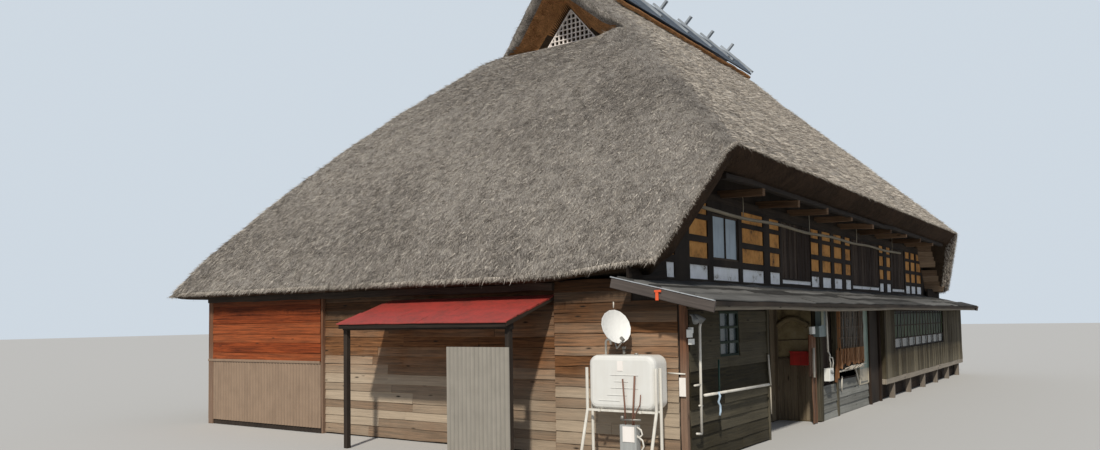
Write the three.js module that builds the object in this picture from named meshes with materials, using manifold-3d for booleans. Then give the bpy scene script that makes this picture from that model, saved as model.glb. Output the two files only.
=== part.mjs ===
// A thatched farmhouse with a raised front eave, a gablet at each end of the ridge, a boarded
// lean-to roof along the front and a timber ground storey.
// Millimetres, +Z up. X runs along the ridge, -Y is the front. The ground is Z = 0 and the ridge
// stands over X = 0, Y = 0. The last lines move the origin to the middle of the footprint.
import * as THREE from 'three';
import { ConvexGeometry } from 'three/addons/geometries/ConvexGeometry.js';
import { mergeVertices } from 'three/addons/utils/BufferGeometryUtils.js';
import Module from 'manifold-3d';

const wasm = await Module();
wasm.setup();

// Overall sizes of the timber body
const GAP = 0.3;
const BAY = 1820;
const WEST = -10550;
const EAST = 10550;
const FRONT = -5600;
const BACK = 5550;
const UPPER_FRONT = -4800;
const WALL = 100;
const POST = 150;

// Thatch: outer surface by height, thickness, and the raised cut of the front eave
const EAVE_Z = 2850;
const EAVE_HALF_LENGTH = 10950;
const EAVE_BACK = 7050;
const LIP_Z = 8500;
const LIP_HALF_LENGTH = 5550;
const SLOPE_BULGE = 320;
const RIDGE_SHOULDER_Y = 850;
const RIDGE_SHOULDER_Z = 9670;
const THATCH_STEP = 350;
const FRONT_EAVE_Y = -5960;
const FRONT_EAVE_Z = 4720;
const FRONT_CUT_LEAN = 0.324;
const APEX_Z = 10400;
const THATCH_LEVELS = [2850, 3450, 4050, 4720, 5400, 6300, 7300, 8500, 9200];
const BACK_CORNER_ROUND = 1000;
const FRONT_CORNER_ROUND = [400, 900];
const FRONT_EAVE_END = 9150;
const ROOF_JOIN_X = 4550;
const HIP_FOOT = [5250, 1450];
const BACK_HIP_RUN = 0.98;
const FAR = 14000;

// Gablets
const LATTICE_X = 4700;
const LATTICE_HALF = 694;
const LATTICE_BASE_Z = 8650;
const LATTICE_APEX_Z = 9470;
const LATTICE_THICK = 50;
const VERGE_FOOT_X = 5250;
const VERGE_TOP_X = 5900;
const FUNNEL_BASE_HALF = 1250;
const FUNNEL_APEX_Z = 9700;

// Ridge: a roll of thatch, a folded cover, a pole, and crossed boards that straddle it
const ROLL_SHOULDER_Z = 9870;
const ROLL_TOP_Z = 10600;
const ROLL_TOP_HALF = 120;
const COVER_HALF_LENGTH_LOW = 4300;
const COVER_HALF_LENGTH_TOP = 5120;
const COVER_HALF_WIDTH = 970;
const COVER_THICK = 70;
const POLE_HALF_LENGTH = 5760;
const POLE_RADIUS = 60;
const CROSS_PITCH = 1590;
const CROSS_COUNT = 7;
const CROSS_FOOT_Y = 840;
const CROSS_HORN_Y = 210;
const CROSS_BOARD = [110, 60];

// Upper front wall: heights of its rows, then the spans of its bays along X
const UPPER_WALL_Z = [2610, 4120];
const WHITE_ROW = [2730, 2970];
const OCHRE_ROWS = [[3090, 3360], [3470, 3750], [3840, 4050]];
const PLASTER_BAYS = [
  [-9780, -9180], [-8630, -7890], [-6350, -5240], [-4910, -4320], [-2290, -1700], [-1470, -780],
  [-530, 140], [430, 930], [3830, 4320], [4670, 5180], [7110, 7720], [7890, 8510], [8700, 9410],
];
const UPPER_WINDOW = [-7680, -6520];
const UPPER_WINDOW_Z = [3090, 3900];
const SHUTTERS = { west: [-4210, -2320], middle: [1040, 3790], east: [5290, 6940] };
const SHUTTER_Z = [2870, 4050];
const SHUTTER_STRIP_Z = [2760, 2840];
const ARM_TIP_Y = -5600;
const ARM_ROOT_Y = -3900;
const ARM_HEIGHT = 200;
const ARM_WIDTH = 140;
const ARM_X = [-4, -3, -2, -1, 0, 1, 2, 3, 4].map((number) => number * BAY);
const PURLIN_HALF_LENGTH = 9000;
const PURLIN_Y = [-5520, -5400];
const HANGING_POLE_X = [-9000, 4600];
const HANGING_POLE_Y = -5200;
const HANGING_POLE_Z = 3910;
const UPPER_FLOOR_Z = [2480, 2580];

// Lean-to roof along the front
const LEANTO_EAVE_Y = -6250;
const LEANTO_EAVE_Z = 2300;
const LEANTO_TOP_Z = 2650;
const LEANTO_THICK = 60;
const LEANTO_WEST = -11020;
const LEANTO_EAST = 10900;
const LEANTO_SLOPE = (LEANTO_TOP_Z - LEANTO_EAVE_Z) / (UPPER_FRONT - LEANTO_EAVE_Y);

// Ground storey
const WALL_TOP = 2210;
const FLOOR_Z = 500;
const FLOOR_THICK = 110;
const ENTRANCE = [-7380, -4650];
const DOORWAY = [-4650, -3450];
const WEST_BAY = [-3450, -1650];
const TALL_PANEL = [-1650, -900];
const EAST_BAY = [150, 10850];
const FLOOR_WEST = -3300;
const BAY_DEPTH = 130;
const WEST_LEDGE_Y = -3400;
const NORTH_PART_Y = 2000;
const SIDE_WALL_TOP = 2780;
const SKIRT_Z = [100, 1330];
const BACK_WALL_TOP = 3700;
const INNER_POST_X = [-10374, -8700, -3375, 75, 3550, 7000, 10374];
const FRONT_WINDOW = [-9390, -8640];
const FRONT_WINDOW_Z = [1480, 2180];
const ENTRANCE_DOOR = [-6900, -5100];
const ENTRANCE_DOOR_TOP = 2000;
const ENTRANCE_BACK_TOP = 2400;
const WEST_BAY_Z = [950, 2240];
const WEST_BAY_RAIL_Z = 1370;
const EAST_BAY_WINDOW = [1200, 7600];
const EAST_BAY_WINDOW_Z = [1200, 2150];
const EAST_BAY_FOOT = FLOOR_Z + 20;
const SILL_LEGS = 6;
const BACK_WINDOW_X = [-6600, 0, 6600];
const BACK_WINDOW_HALF = 900;
const BACK_WINDOW_Z = [1100, 2000];

// What stands beside the west wall
const RED_ROOF_Y = [-3380, 200];
const RED_ROOF_LOW = [-11750, 2070];
const RED_ROOF_TOP_Z = 2470;
const RED_ROOF_BEAM_X = [-11640, -11560];
const SCREEN_LENGTH = 1200;
const SCREEN_Z = [80, 1700];
const TANK_FOOT = 815;
const TANK_SIZE = { length: 1060, height: 760, depth: 430 };
const TANK_ROUND = 60;
const TANK_BEVEL = 70;
const TANK_X = -11070;
const TANK_Y = -4850;
const STAND_LEG_X = [-11070, -10930];
const STAND_LEG_RADIUS = 22;
const STAND_LEG_TOP_Z = 1400;
const STAND_RAIL_OFFSET = 330;
const STAND_SPREAD = 250;
const STAND_BAR = 30;
const DISH_CENTRE = [-10930, -4680, 1962];
const DISH_RADIUS = 250;
const DISH_DEPTH = 60;
const LETTER_BOX_Y = [-5460, -5100];
const LETTER_BOX_Z = [1110, 1370];

const finish = (color, roughness = 0.9, metalness = 0) =>
  new THREE.MeshStandardMaterial({ color, roughness, metalness });
const THATCH = finish(0x968c82, 1);
const DARK_WOOD = finish(0x1c1a19, 0.8);
const BROWN_WOOD = finish(0x5a4432);
const GREY_WOOD = finish(0x969187);
const RED_WOOD = finish(0xa5502d);
const OCHRE = finish(0xc88c46);
const WHITE = finish(0xe6e2d6, 0.5);
const GLASS = finish(0x96a5af, 0.2);
const SLATE = finish(0x27323d, 0.5, 0.3);
const RED_METAL = finish(0xa52828, 0.5, 0.4);
const TAN_METAL = finish(0xaa8c78, 0.5, 0.4);
const PIPE = finish(0xb4b4b0, 0.4, 0.8);

const house = new THREE.Group();

// Adds one named piece to the house
function piece(name, geometry, material, position = [0, 0, 0]) {
  const mesh = new THREE.Mesh(geometry, material);
  mesh.name = name;
  mesh.position.set(...position);
  house.add(mesh);
}

// A box between two limits along each axis
function box([x0, x1], [y0, y1], [z0, z1]) {
  const geometry = new THREE.BoxGeometry(x1 - x0, y1 - y0, z1 - z0);
  return geometry.translate((x0 + x1) / 2, (y0 + y1) / 2, (z0 + z1) / 2);
}

// The convex solid around a list of corner points
function hull(points) {
  return new ConvexGeometry(points.map((point) => new THREE.Vector3(...point)));
}

// A profile of Y, Z points carried along X
function alongX(profile, [x0, x1]) {
  return hull(profile.flatMap(([y, z]) => [[x0, y, z], [x1, y, z]]));
}

// A closed mesh as a solid that can be cut and joined
function solid(geometry) {
  const bare = geometry.clone();
  bare.deleteAttribute('normal');
  bare.deleteAttribute('uv');
  const merged = mergeVertices(bare, 0.001);
  return new wasm.Manifold(new wasm.Mesh({
    numProp: 3,
    vertProperties: new Float32Array(merged.attributes.position.array),
    triVerts: new Uint32Array(merged.index.array),
  }));
}

// A solid as a mesh geometry again
function toGeometry(manifold) {
  const { vertProperties, triVerts } = manifold.getMesh();
  const geometry = new THREE.BufferGeometry();
  geometry.setAttribute('position', new THREE.BufferAttribute(vertProperties, 3));
  geometry.setIndex(new THREE.BufferAttribute(triVerts, 1));
  geometry.computeVertexNormals();
  return geometry;
}

// Several meshes joined into one solid
function joined(geometries) {
  return geometries.map(solid).reduce((sum, part) => sum.add(part));
}

// A straight round bar between two points
function bar(from, to, radius, sides = 8) {
  const start = new THREE.Vector3(...from);
  const end = new THREE.Vector3(...to);
  const axis = end.clone().sub(start);
  const geometry = new THREE.CylinderGeometry(radius, radius, axis.length(), sides);
  const turn = new THREE.Quaternion().setFromUnitVectors(
    new THREE.Vector3(0, 1, 0), axis.clone().normalize());
  const middle = start.add(end).multiplyScalar(0.5);
  return geometry.applyQuaternion(turn).translate(middle.x, middle.y, middle.z);
}

// A plank of given width and depth between two points, its width along X
function plank(from, to, width, depth) {
  const start = new THREE.Vector3(...from);
  const end = new THREE.Vector3(...to);
  const axis = end.clone().sub(start);
  const geometry = new THREE.BoxGeometry(width, axis.length(), depth);
  geometry.rotateX(Math.atan2(axis.z, axis.y));
  const middle = start.add(end).multiplyScalar(0.5);
  return geometry.translate(middle.x, middle.y, middle.z);
}

// Outer thatch surface: a straight slope from eave to gablet lip with a bulge half way up
function slopeAt(z, low, high) {
  const share = (z - EAVE_Z) / (LIP_Z - EAVE_Z);
  const bulge = SLOPE_BULGE * 4 * share * (1 - share);
  return low + (high - low) * share + Math.max(bulge, 0);
}

function thatchLengthAt(z) {
  return slopeAt(z, EAVE_HALF_LENGTH, LIP_HALF_LENGTH);
}

function thatchBackAt(z) {
  const fullRise = RIDGE_SHOULDER_Z - EAVE_Z;
  const lipY = EAVE_BACK + (RIDGE_SHOULDER_Y - EAVE_BACK) * (LIP_Z - EAVE_Z) / fullRise;
  return slopeAt(z, EAVE_BACK, lipY);
}

function thatchFrontAt(z) {
  const run = -FRONT_EAVE_Y - RIDGE_SHOULDER_Y;
  return FRONT_EAVE_Y + run * (z - FRONT_EAVE_Z) / (RIDGE_SHOULDER_Z - FRONT_EAVE_Z);
}

// One level of the thatch: a rectangle with rounded corners, sharper at the front low down
function thatchRing(z, inset) {
  const halfLength = thatchLengthAt(z) - inset;
  const back = thatchBackAt(z) - inset;
  const front = thatchFrontAt(z) + inset;
  const backRound = BACK_CORNER_ROUND - inset;
  const share = Math.min(Math.max((z - FRONT_EAVE_Z) / (LIP_Z - FRONT_EAVE_Z), 0), 1);
  const [lowRound, highRound] = FRONT_CORNER_ROUND;
  const frontRound = lowRound + (highRound - lowRound) * share - inset;
  const corners = [
    [halfLength, back, backRound, 0],
    [-halfLength, back, backRound, 1],
    [-halfLength, front, frontRound, 2],
    [halfLength, front, frontRound, 3],
  ];
  const steps = 4;
  return corners.flatMap(([x, y, round, quarter]) => {
    const centreX = x - Math.sign(x) * round;
    const centreY = quarter < 2 ? y - round : y + round;
    return Array.from({ length: steps + 1 }, (_, step) => {
      const angle = (quarter + step / steps) * Math.PI / 2;
      return [centreX + round * Math.cos(angle), centreY + round * Math.sin(angle), z - inset];
    });
  });
}

// A closed body through rings of equal length, with a fan at each end
function loft(rings) {
  const size = rings[0].length;
  const positions = rings.flat(2);
  const index = [];
  for (let level = 0; level + 1 < rings.length; level += 1) {
    for (let side = 0; side < size; side += 1) {
      const next = (side + 1) % size;
      const low = level * size;
      const high = low + size;
      index.push(low + side, low + next, high + next, low + side, high + next, high + side);
    }
  }
  const top = (rings.length - 1) * size;
  for (let side = 1; side + 1 < size; side += 1) {
    index.push(0, side + 1, side, top, top + side, top + side + 1);
  }
  const geometry = new THREE.BufferGeometry();
  geometry.setAttribute('position', new THREE.Float32BufferAttribute(positions, 3));
  geometry.setIndex(index);
  return geometry;
}

// The upper roof between two stations, drawn in and lowered towards the gablets
function upperRoof(x0, x1, inset) {
  const section = (x) => {
    const dip = Math.max(Math.abs(x) - ROOF_JOIN_X, 0) * 0.45;
    const shoulderY = RIDGE_SHOULDER_Y - dip * 0.8;
    const shoulderZ = RIDGE_SHOULDER_Z - inset - dip / 4;
    return [
      [x, thatchFrontAt(LIP_Z) + inset + dip, LIP_Z - inset],
      [x, -shoulderY, shoulderZ],
      [x, 0, APEX_Z - inset - dip * 0.7],
      [x, shoulderY, shoulderZ],
      [x, thatchBackAt(LIP_Z) - inset - dip, LIP_Z - inset],
    ];
  };
  return hull([...section(x0), ...section(x1)]);
}

// Everything outside the slanting verge of the gablet at one end (side is -1 or 1)
function beyondVerge(side) {
  const lean = (VERGE_TOP_X - VERGE_FOOT_X) / (APEX_Z - LIP_Z);
  const at = (z) => VERGE_FOOT_X + lean * (z - LIP_Z);
  const low = LIP_Z - 40;
  const high = ROLL_TOP_Z + 400;
  return hull([-FAR, FAR].flatMap((y) => [
    [side * at(low), y, low], [side * FAR, y, low],
    [side * at(high), y, high], [side * FAR, y, high],
  ]));
}

// The funnel cut into each gablet, from the lattice out to the verge
function gabletFunnel(side) {
  const reach = 1.35;
  const inner = [[LATTICE_X, LATTICE_HALF, LATTICE_BASE_Z], [LATTICE_X, 0, LATTICE_APEX_Z]];
  const outer = [[VERGE_FOOT_X + 40, FUNNEL_BASE_HALF, LIP_Z], [VERGE_TOP_X, 0, FUNNEL_APEX_Z]];
  const points = inner.flatMap(([x, y, z], corner) => {
    const [ox, oy, oz] = outer[corner];
    const end = [x + (ox - x) * reach, y + (oy - y) * reach, z + (oz - z) * reach];
    return [[x - 1, y, z], end, [x - 1, -y, z], [end[0], -end[1], end[2]]];
  });
  return hull(points.map(([x, y, z]) => [side * x, y, z]));
}

// The roll of thatch that stands above the slopes and carries the ridge cover
function ridgeRoll() {
  const low = COVER_HALF_LENGTH_LOW - 60;
  const top = COVER_HALF_LENGTH_TOP - 60;
  return hull([-1, 1].flatMap((side) => [
    [side * low, -RIDGE_SHOULDER_Y, RIDGE_SHOULDER_Z - 200],
    [side * low, RIDGE_SHOULDER_Y, RIDGE_SHOULDER_Z - 200],
    [side * low, -RIDGE_SHOULDER_Y, ROLL_SHOULDER_Z],
    [side * low, RIDGE_SHOULDER_Y, ROLL_SHOULDER_Z],
    [side * top, -ROLL_TOP_HALF, ROLL_TOP_Z],
    [side * top, ROLL_TOP_HALF, ROLL_TOP_Z],
  ]));
}

// The triangle of the gablet's opening, drawn in by a margin
function latticeTriangle(margin, [x0, x1]) {
  const half = LATTICE_HALF - margin * 2.4;
  return alongX([
    [-half, LATTICE_BASE_Z + margin], [half, LATTICE_BASE_Z + margin],
    [0, LATTICE_APEX_Z - margin * 1.7],
  ], [x0, x1]);
}

// What is cut away in front: the hip ends lean back, the long eave is cut square to its slope
function frontCut() {
  const low = 2000;
  const cutY = (z) => FRONT_EAVE_Y + FRONT_CUT_LEAN * (FRONT_EAVE_Z - z);
  const ends = alongX([
    [-FAR, low], [-FAR, FRONT_EAVE_Z], [FRONT_EAVE_Y, FRONT_EAVE_Z], [cutY(low), low],
  ], [-FAR, FAR]);
  const drop = 800;
  const middle = alongX([
    [-FAR, FRONT_EAVE_Z], [FRONT_EAVE_Y, FRONT_EAVE_Z],
    [FRONT_EAVE_Y + drop, FRONT_EAVE_Z - drop], [-FAR, FRONT_EAVE_Z - drop],
  ], [-FRONT_EAVE_END, FRONT_EAVE_END]);
  return solid(ends).add(solid(middle));
}

// Height of the lean-to roof's top face at a given Y
function leantoTop(y) {
  return LEANTO_EAVE_Z + (y - LEANTO_EAVE_Y) * LEANTO_SLOPE;
}

// The whole roof as one hollow solid
function thatchShell() {
  const roofEnd = VERGE_TOP_X + 200;
  const outer = [
    loft([thatchRing(EAVE_Z, THATCH_STEP), ...THATCH_LEVELS.map((z) => thatchRing(z, 0))]),
    upperRoof(-ROOF_JOIN_X, ROOF_JOIN_X, 0),
    upperRoof(-roofEnd, -ROOF_JOIN_X, 0),
    upperRoof(ROOF_JOIN_X, roofEnd, 0),
    ridgeRoll(),
  ];
  const below = thatchRing(EAVE_Z, THATCH_STEP).map(([x, y, z]) => [x, y, z - 600]);
  const attic = LATTICE_X - 300;
  const inner = [
    loft([below, ...THATCH_LEVELS.map((z) => thatchRing(z, THATCH_STEP))]),
    upperRoof(-attic, attic, THATCH_STEP * 1.3),
  ];
  let shell = joined(outer).subtract(joined(inner)).subtract(frontCut());
  for (const side of [-1, 1]) {
    shell = shell.subtract(solid(beyondVerge(side))).subtract(solid(gabletFunnel(side)));
    const hole = [side * (LATTICE_X + 20), side * (attic - 400)].sort((a, b) => a - b);
    shell = shell.subtract(solid(latticeTriangle(0, hole)));
  }
  const [y0, y1] = [LEANTO_EAVE_Y - 50, UPPER_FRONT + 110];
  const belowLeanto = alongX([
    [y0, 1500], [y0, leantoTop(y0) + GAP], [y1, leantoTop(y1) + GAP], [y1, 1500],
  ], [-FAR, FAR]);
  return shell.subtract(solid(belowLeanto));
}

// All that stands over the plan of the front (way -1) or back (way 1) slope, hip to hip
function slopeRegion(way) {
  const [nodeX, nodeY] = HIP_FOOT;
  const hipRun = way < 0 ? 1 : BACK_HIP_RUN;
  const farY = nodeY + (FAR - nodeX) * hipRun;
  const plan = [
    [nodeX - 300, GAP / 2], [nodeX, nodeY], [FAR, farY], [FAR, 2 * FAR],
    [-FAR, 2 * FAR], [-FAR, farY], [-nodeX, nodeY], [300 - nodeX, GAP / 2],
  ].map(([x, y]) => new THREE.Vector2(x, way * y));
  const settings = { depth: FAR, bevelEnabled: false };
  return solid(new THREE.ExtrudeGeometry(new THREE.Shape(plan), settings));
}

// The main body of a shape after it is cut back by others
function trimmed(shape, ...cutters) {
  const cut = cutters.reduce((rest, cutter) => rest.subtract(cutter), shape);
  const bodies = cut.decompose().sort((a, b) => b.volume() - a.volume());
  return toGeometry(bodies[0]);
}

const shell = thatchShell();
const frontRegion = slopeRegion(-1);
const backRegion = slopeRegion(1);

// The front and back slopes, and the two hip ends that are left between them
function thatchPieces() {
  const moves = [[GAP, 0, 0], [-GAP, 0, 0], [0, GAP, 0], [0, -GAP, 0]];
  const grown = (region) => moves.reduce((sum, move) => sum.add(region.translate(move)), region);
  const ends = shell.subtract(grown(frontRegion)).subtract(grown(backRegion));
  const halves = { thatch_west: [-FAR, 0], thatch_east: [0, FAR] };
  piece('thatch_front', trimmed(shell.intersect(frontRegion)), THATCH);
  piece('thatch_back', trimmed(shell.intersect(backRegion)), THATCH);
  for (const [name, span] of Object.entries(halves)) {
    const side = solid(box(span, [-FAR, FAR], [0, FAR]));
    piece(name, trimmed(ends.intersect(side)), THATCH);
  }
}

thatchPieces();

// What anything under the thatch, or under the lean-to roof, is cut back to
const underThatch = shell.add(shell.translate([0, 0, -2 * GAP]));
const underLeanto = solid(alongX([
  [-FAR, leantoTop(-FAR) - LEANTO_THICK - GAP], [-FAR, FAR],
  [UPPER_FRONT, FAR], [UPPER_FRONT, leantoTop(UPPER_FRONT) - LEANTO_THICK - GAP],
], [-FAR, FAR]));

// A plate with openings cut through it
function plate(spans, openings) {
  return openings.reduce((rest, opening) => rest.subtract(solid(box(...opening))),
    solid(box(...spans)));
}

// A folded sheet over the ridge roll, longer at its top than at its lower edges
function ridgeCover() {
  const rise = ROLL_TOP_Z - ROLL_SHOULDER_Z;
  const slope = rise / (RIDGE_SHOULDER_Y - ROLL_TOP_HALF);
  const at = (y, lift) => ROLL_TOP_Z - (y - ROLL_TOP_HALF) * slope + lift;
  const form = (longer, wider, lift, foot) => {
    const [low, top] = [COVER_HALF_LENGTH_LOW + longer, COVER_HALF_LENGTH_TOP + longer];
    const y = COVER_HALF_WIDTH + wider;
    return [-1, 1].flatMap((side) => [-1, 1].flatMap((way) => [
      [side * low, way * y, at(y, lift)], [side * low, way * y, at(y, foot)],
      [side * top, way * ROLL_TOP_HALF, ROLL_TOP_Z + lift],
    ]));
  };
  const outer = form(0, 0, COVER_THICK, 0);
  const inner = form(900, 200, GAP, -900);
  piece('ridge_cover', trimmed(solid(hull(outer)), solid(hull(inner))), SLATE);
}

// The ridge pole, and the pairs of boards that cross over it and lie on the cover
function ridgePoleAndCrosses() {
  const slope = (ROLL_TOP_Z - ROLL_SHOULDER_Z) / (RIDGE_SHOULDER_Y - ROLL_TOP_HALF);
  const [width, thick] = CROSS_BOARD;
  const lift = COVER_THICK + GAP + thick / 2 * Math.hypot(1, slope);
  const at = (y) => ROLL_TOP_Z + (ROLL_TOP_HALF - y) * slope + lift;
  const poleZ = ROLL_TOP_Z + COVER_THICK + GAP + POLE_RADIUS;
  const parts = [bar([-POLE_HALF_LENGTH, 0, poleZ], [POLE_HALF_LENGTH, 0, poleZ], POLE_RADIUS)];
  for (let number = 0; number < CROSS_COUNT; number += 1) {
    const x = (number - (CROSS_COUNT - 1) / 2) * CROSS_PITCH;
    for (const side of [-1, 1]) {
      const foot = [x - side * 2, side * CROSS_FOOT_Y, at(CROSS_FOOT_Y)];
      const horn = [x - side * 2, -side * CROSS_HORN_Y, at(-CROSS_HORN_Y)];
      parts.push(plank(foot, horn, width, thick));
    }
  }
  piece('ridge_pole_and_crosses', toGeometry(joined(parts)), GREY_WOOD);
}

// The triangle of slats and rails that fills the end of one gablet
function gableLattice(name, side) {
  const rimWidth = 22;
  const slats = 11;
  const rails = 6;
  const inner = LATTICE_X - LATTICE_THICK;
  const span = side < 0 ? [-LATTICE_X, -inner] : [inner, LATTICE_X];
  const field = solid(latticeTriangle(GAP, span));
  let lattice = field.subtract(solid(latticeTriangle(rimWidth, [span[0] - 10, span[1] + 10])));
  for (let slat = 0; slat < slats; slat += 1) {
    const y = (slat - (slats - 1) / 2) * 2 * LATTICE_HALF / (slats + 0.6);
    lattice = lattice.add(field.intersect(solid(box([span[0] + 12, span[1] - 1],
      [y - 14, y + 14], [LATTICE_BASE_Z, LATTICE_APEX_Z]))));
  }
  for (let rail = 1; rail <= rails; rail += 1) {
    const z = LATTICE_BASE_Z + rail * (LATTICE_APEX_Z - LATTICE_BASE_Z) / (rails + 1);
    lattice = lattice.add(field.intersect(solid(box([span[0] + 6, span[1] - 6],
      [-LATTICE_HALF, LATTICE_HALF], [z - 10, z + 10]))));
  }
  piece(name, toGeometry(lattice), GREY_WOOD);
}

// Posts and rails of the upper front wall, one dark timber grid
function upperFrame() {
  const depth = [UPPER_FRONT - 10, UPPER_FRONT + 110];
  const rows = [WHITE_ROW, ...OCHRE_ROWS];
  const cells = PLASTER_BAYS.flatMap((bay) => rows.map((row) => [bay, depth, row]));
  cells.push([UPPER_WINDOW, depth, WHITE_ROW], [UPPER_WINDOW, depth, UPPER_WINDOW_Z]);
  for (const bay of Object.values(SHUTTERS)) {
    cells.push([bay, depth, SHUTTER_Z], [bay, depth, SHUTTER_STRIP_Z]);
  }
  const wall = plate([[WEST + 150, EAST - 150], [UPPER_FRONT, UPPER_FRONT + WALL], UPPER_WALL_Z], cells);
  piece('upper_frame', trimmed(wall, underThatch), DARK_WOOD);
}

// Earth and lime plaster: a sheet behind the grid, with a panel that fills each cell
function upperPlaster() {
  const face = UPPER_FRONT + 25;
  const back = [UPPER_FRONT + WALL + GAP, UPPER_FRONT + WALL + 30];
  const rows = [WHITE_ROW, ...OCHRE_ROWS];
  const cells = PLASTER_BAYS.flatMap((bay) => rows.map((row) => [bay, row]));
  cells.push([UPPER_WINDOW, WHITE_ROW]);
  for (const bay of Object.values(SHUTTERS)) {
    cells.push([bay, SHUTTER_STRIP_Z]);
  }
  const holes = [[UPPER_WINDOW, UPPER_WINDOW_Z]];
  for (const bay of Object.values(SHUTTERS)) {
    holes.push([bay, SHUTTER_Z]);
  }
  const tight = ([low, high]) => [low + GAP, high - GAP];
  const sheet = plate([[WEST + 150, EAST - 150], back, UPPER_WALL_Z],
    holes.map(([bay, row]) => [bay, [back[0] - 10, back[1] + 10], row]));
  const panels = cells.map(([bay, row]) => solid(box(tight(bay), [face, back[1]], tight(row))));
  piece('upper_plaster', trimmed(panels.reduce((sum, panel) => sum.add(panel), sheet),
    underThatch), OCHRE);
}

// A framed window: bars around a thin sheet of glass, in the XZ plane and centred on Y
function windowUnit(width, height, depth, panes) {
  const rail = 40;
  const pane = (width - rail * (panes + 1)) / panes;
  let unit = solid(box([-width / 2, width / 2], [-depth / 2, depth / 2], [0, height]));
  for (let number = 0; number < panes; number += 1) {
    const x = -width / 2 + rail + number * (pane + rail);
    for (const [y0, y1] of [[-depth / 2 - 1, -4], [4, depth / 2 + 1]]) {
      unit = unit.subtract(solid(box([x, x + pane], [y0, y1], [rail, height - rail])));
    }
  }
  return toGeometry(unit);
}

// A window unit set into its opening, with the middle of its thickness at the given Y
function fitWindow(name, [x0, x1], [z0, z1], y, depth, panes) {
  const unit = windowUnit(x1 - x0 - 2 * GAP, z1 - z0 - 2 * GAP, depth, panes);
  piece(name, unit, GLASS, [(x0 + x1) / 2, y, z0 + GAP]);
}

// The one window of the upper front
function upperWindow() {
  fitWindow('upper_window', UPPER_WINDOW, UPPER_WINDOW_Z, UPPER_FRONT + 40, 60, 2);
}

// Board shutters that close the wide openings of the upper front
function upperShutters() {
  for (const [name, [x0, x1]] of Object.entries(SHUTTERS)) {
    const geometry = box([x0 + GAP, x1 - GAP], [UPPER_FRONT + 10, UPPER_FRONT + 50],
      [SHUTTER_Z[0] + GAP, SHUTTER_Z[1] - GAP]);
    piece(`upper_shutter_${name}`, geometry, BROWN_WOOD);
  }
}

// Cantilever beams that carry the raised eave, with the purlin that lies on their tips
function eaveArms() {
  const low = UPPER_WALL_Z[1] + GAP;
  const high = low + ARM_HEIGHT;
  const arms = ARM_X.map((x) => box([x - ARM_WIDTH / 2, x + ARM_WIDTH / 2],
    [ARM_TIP_Y, ARM_ROOT_Y], [low, high]));
  const purlin = box([-PURLIN_HALF_LENGTH, PURLIN_HALF_LENGTH], PURLIN_Y, [high - 20, high + 320]);
  piece('eave_arms_and_purlin', trimmed(joined([...arms, purlin]), underThatch), BROWN_WOOD);
}

// Boards that close the wall between the arms, up to the thatch
function upperFrieze() {
  const low = UPPER_WALL_Z[1] + GAP;
  const half = ARM_WIDTH / 2 + GAP;
  const depth = [UPPER_FRONT + 40, UPPER_FRONT + 90];
  const notches = ARM_X.map((x) => [
    [x - half, x + half], [depth[0] - 10, depth[1] + 10], [low - 10, low + ARM_HEIGHT + GAP]]);
  const board = plate([[WEST, EAST], depth, [low, FRONT_EAVE_Z + 700]], notches);
  piece('upper_frieze', trimmed(board, underThatch), DARK_WOOD);
}

// A long pole under the eave, hung from the arms on four hooks
function hangingPole() {
  const at = (x) => [x, HANGING_POLE_Y, HANGING_POLE_Z];
  const hooks = [0, 2, 4, 6].map((number) => ARM_X[number]);
  const parts = [bar(at(HANGING_POLE_X[0]), at(HANGING_POLE_X[1]), 32)];
  for (const x of hooks) {
    parts.push(bar(at(x), [x, HANGING_POLE_Y, UPPER_WALL_Z[1]], 9, 6));
  }
  piece('hanging_pole', toGeometry(joined(parts)), PIPE);
}

// The boarded ground floor, cut around the posts, and the floor of the upper storey
function floors() {
  const inside = [EAST - WALL - GAP, BACK - WALL - GAP];
  const posts = innerPostSpans().map((span) => [
    [span[0] - GAP, span[1] + GAP], [UPPER_FRONT - GAP, UPPER_FRONT + POST + GAP], [0, 3000]]);
  const ground = plate([[FLOOR_WEST, inside[0]], [FRONT + WALL + GAP, inside[1]],
    [FLOOR_Z - FLOOR_THICK, FLOOR_Z]], posts);
  piece('ground_floor', trimmed(ground), BROWN_WOOD);
  piece('upper_floor', box([WEST + 2 * WALL + GAP, inside[0]],
    [UPPER_FRONT + POST + GAP, inside[1]], UPPER_FLOOR_Z), BROWN_WOOD);
}

// The posts in line with the upper front wall, by their spans along X
function innerPostSpans() {
  return INNER_POST_X.map((x) => [x - POST / 2, x + POST / 2]);
}

// Posts and beam under the upper front wall
function innerFrame() {
  const depth = [UPPER_FRONT, UPPER_FRONT + POST];
  const beam = box([WEST + WALL + GAP, EAST - WALL - GAP], depth,
    [ENTRANCE_BACK_TOP, UPPER_WALL_Z[0] - GAP]);
  const posts = innerPostSpans().map((span) => box(span, depth, [0, ENTRANCE_BACK_TOP + 10]));
  piece('inner_frame', toGeometry(joined([beam, ...posts])), BROWN_WOOD);
}

// The lean-to roof, one sloping slab the length of the front
function leantoRoof() {
  const profile = [
    [LEANTO_EAVE_Y, LEANTO_EAVE_Z], [UPPER_FRONT - GAP, leantoTop(UPPER_FRONT - GAP)],
    [UPPER_FRONT - GAP, leantoTop(UPPER_FRONT - GAP) - LEANTO_THICK],
    [LEANTO_EAVE_Y, LEANTO_EAVE_Z - LEANTO_THICK],
  ];
  piece('front_leanto_roof', alongX(profile, [LEANTO_WEST, LEANTO_EAST]), GREY_WOOD);
}

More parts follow.
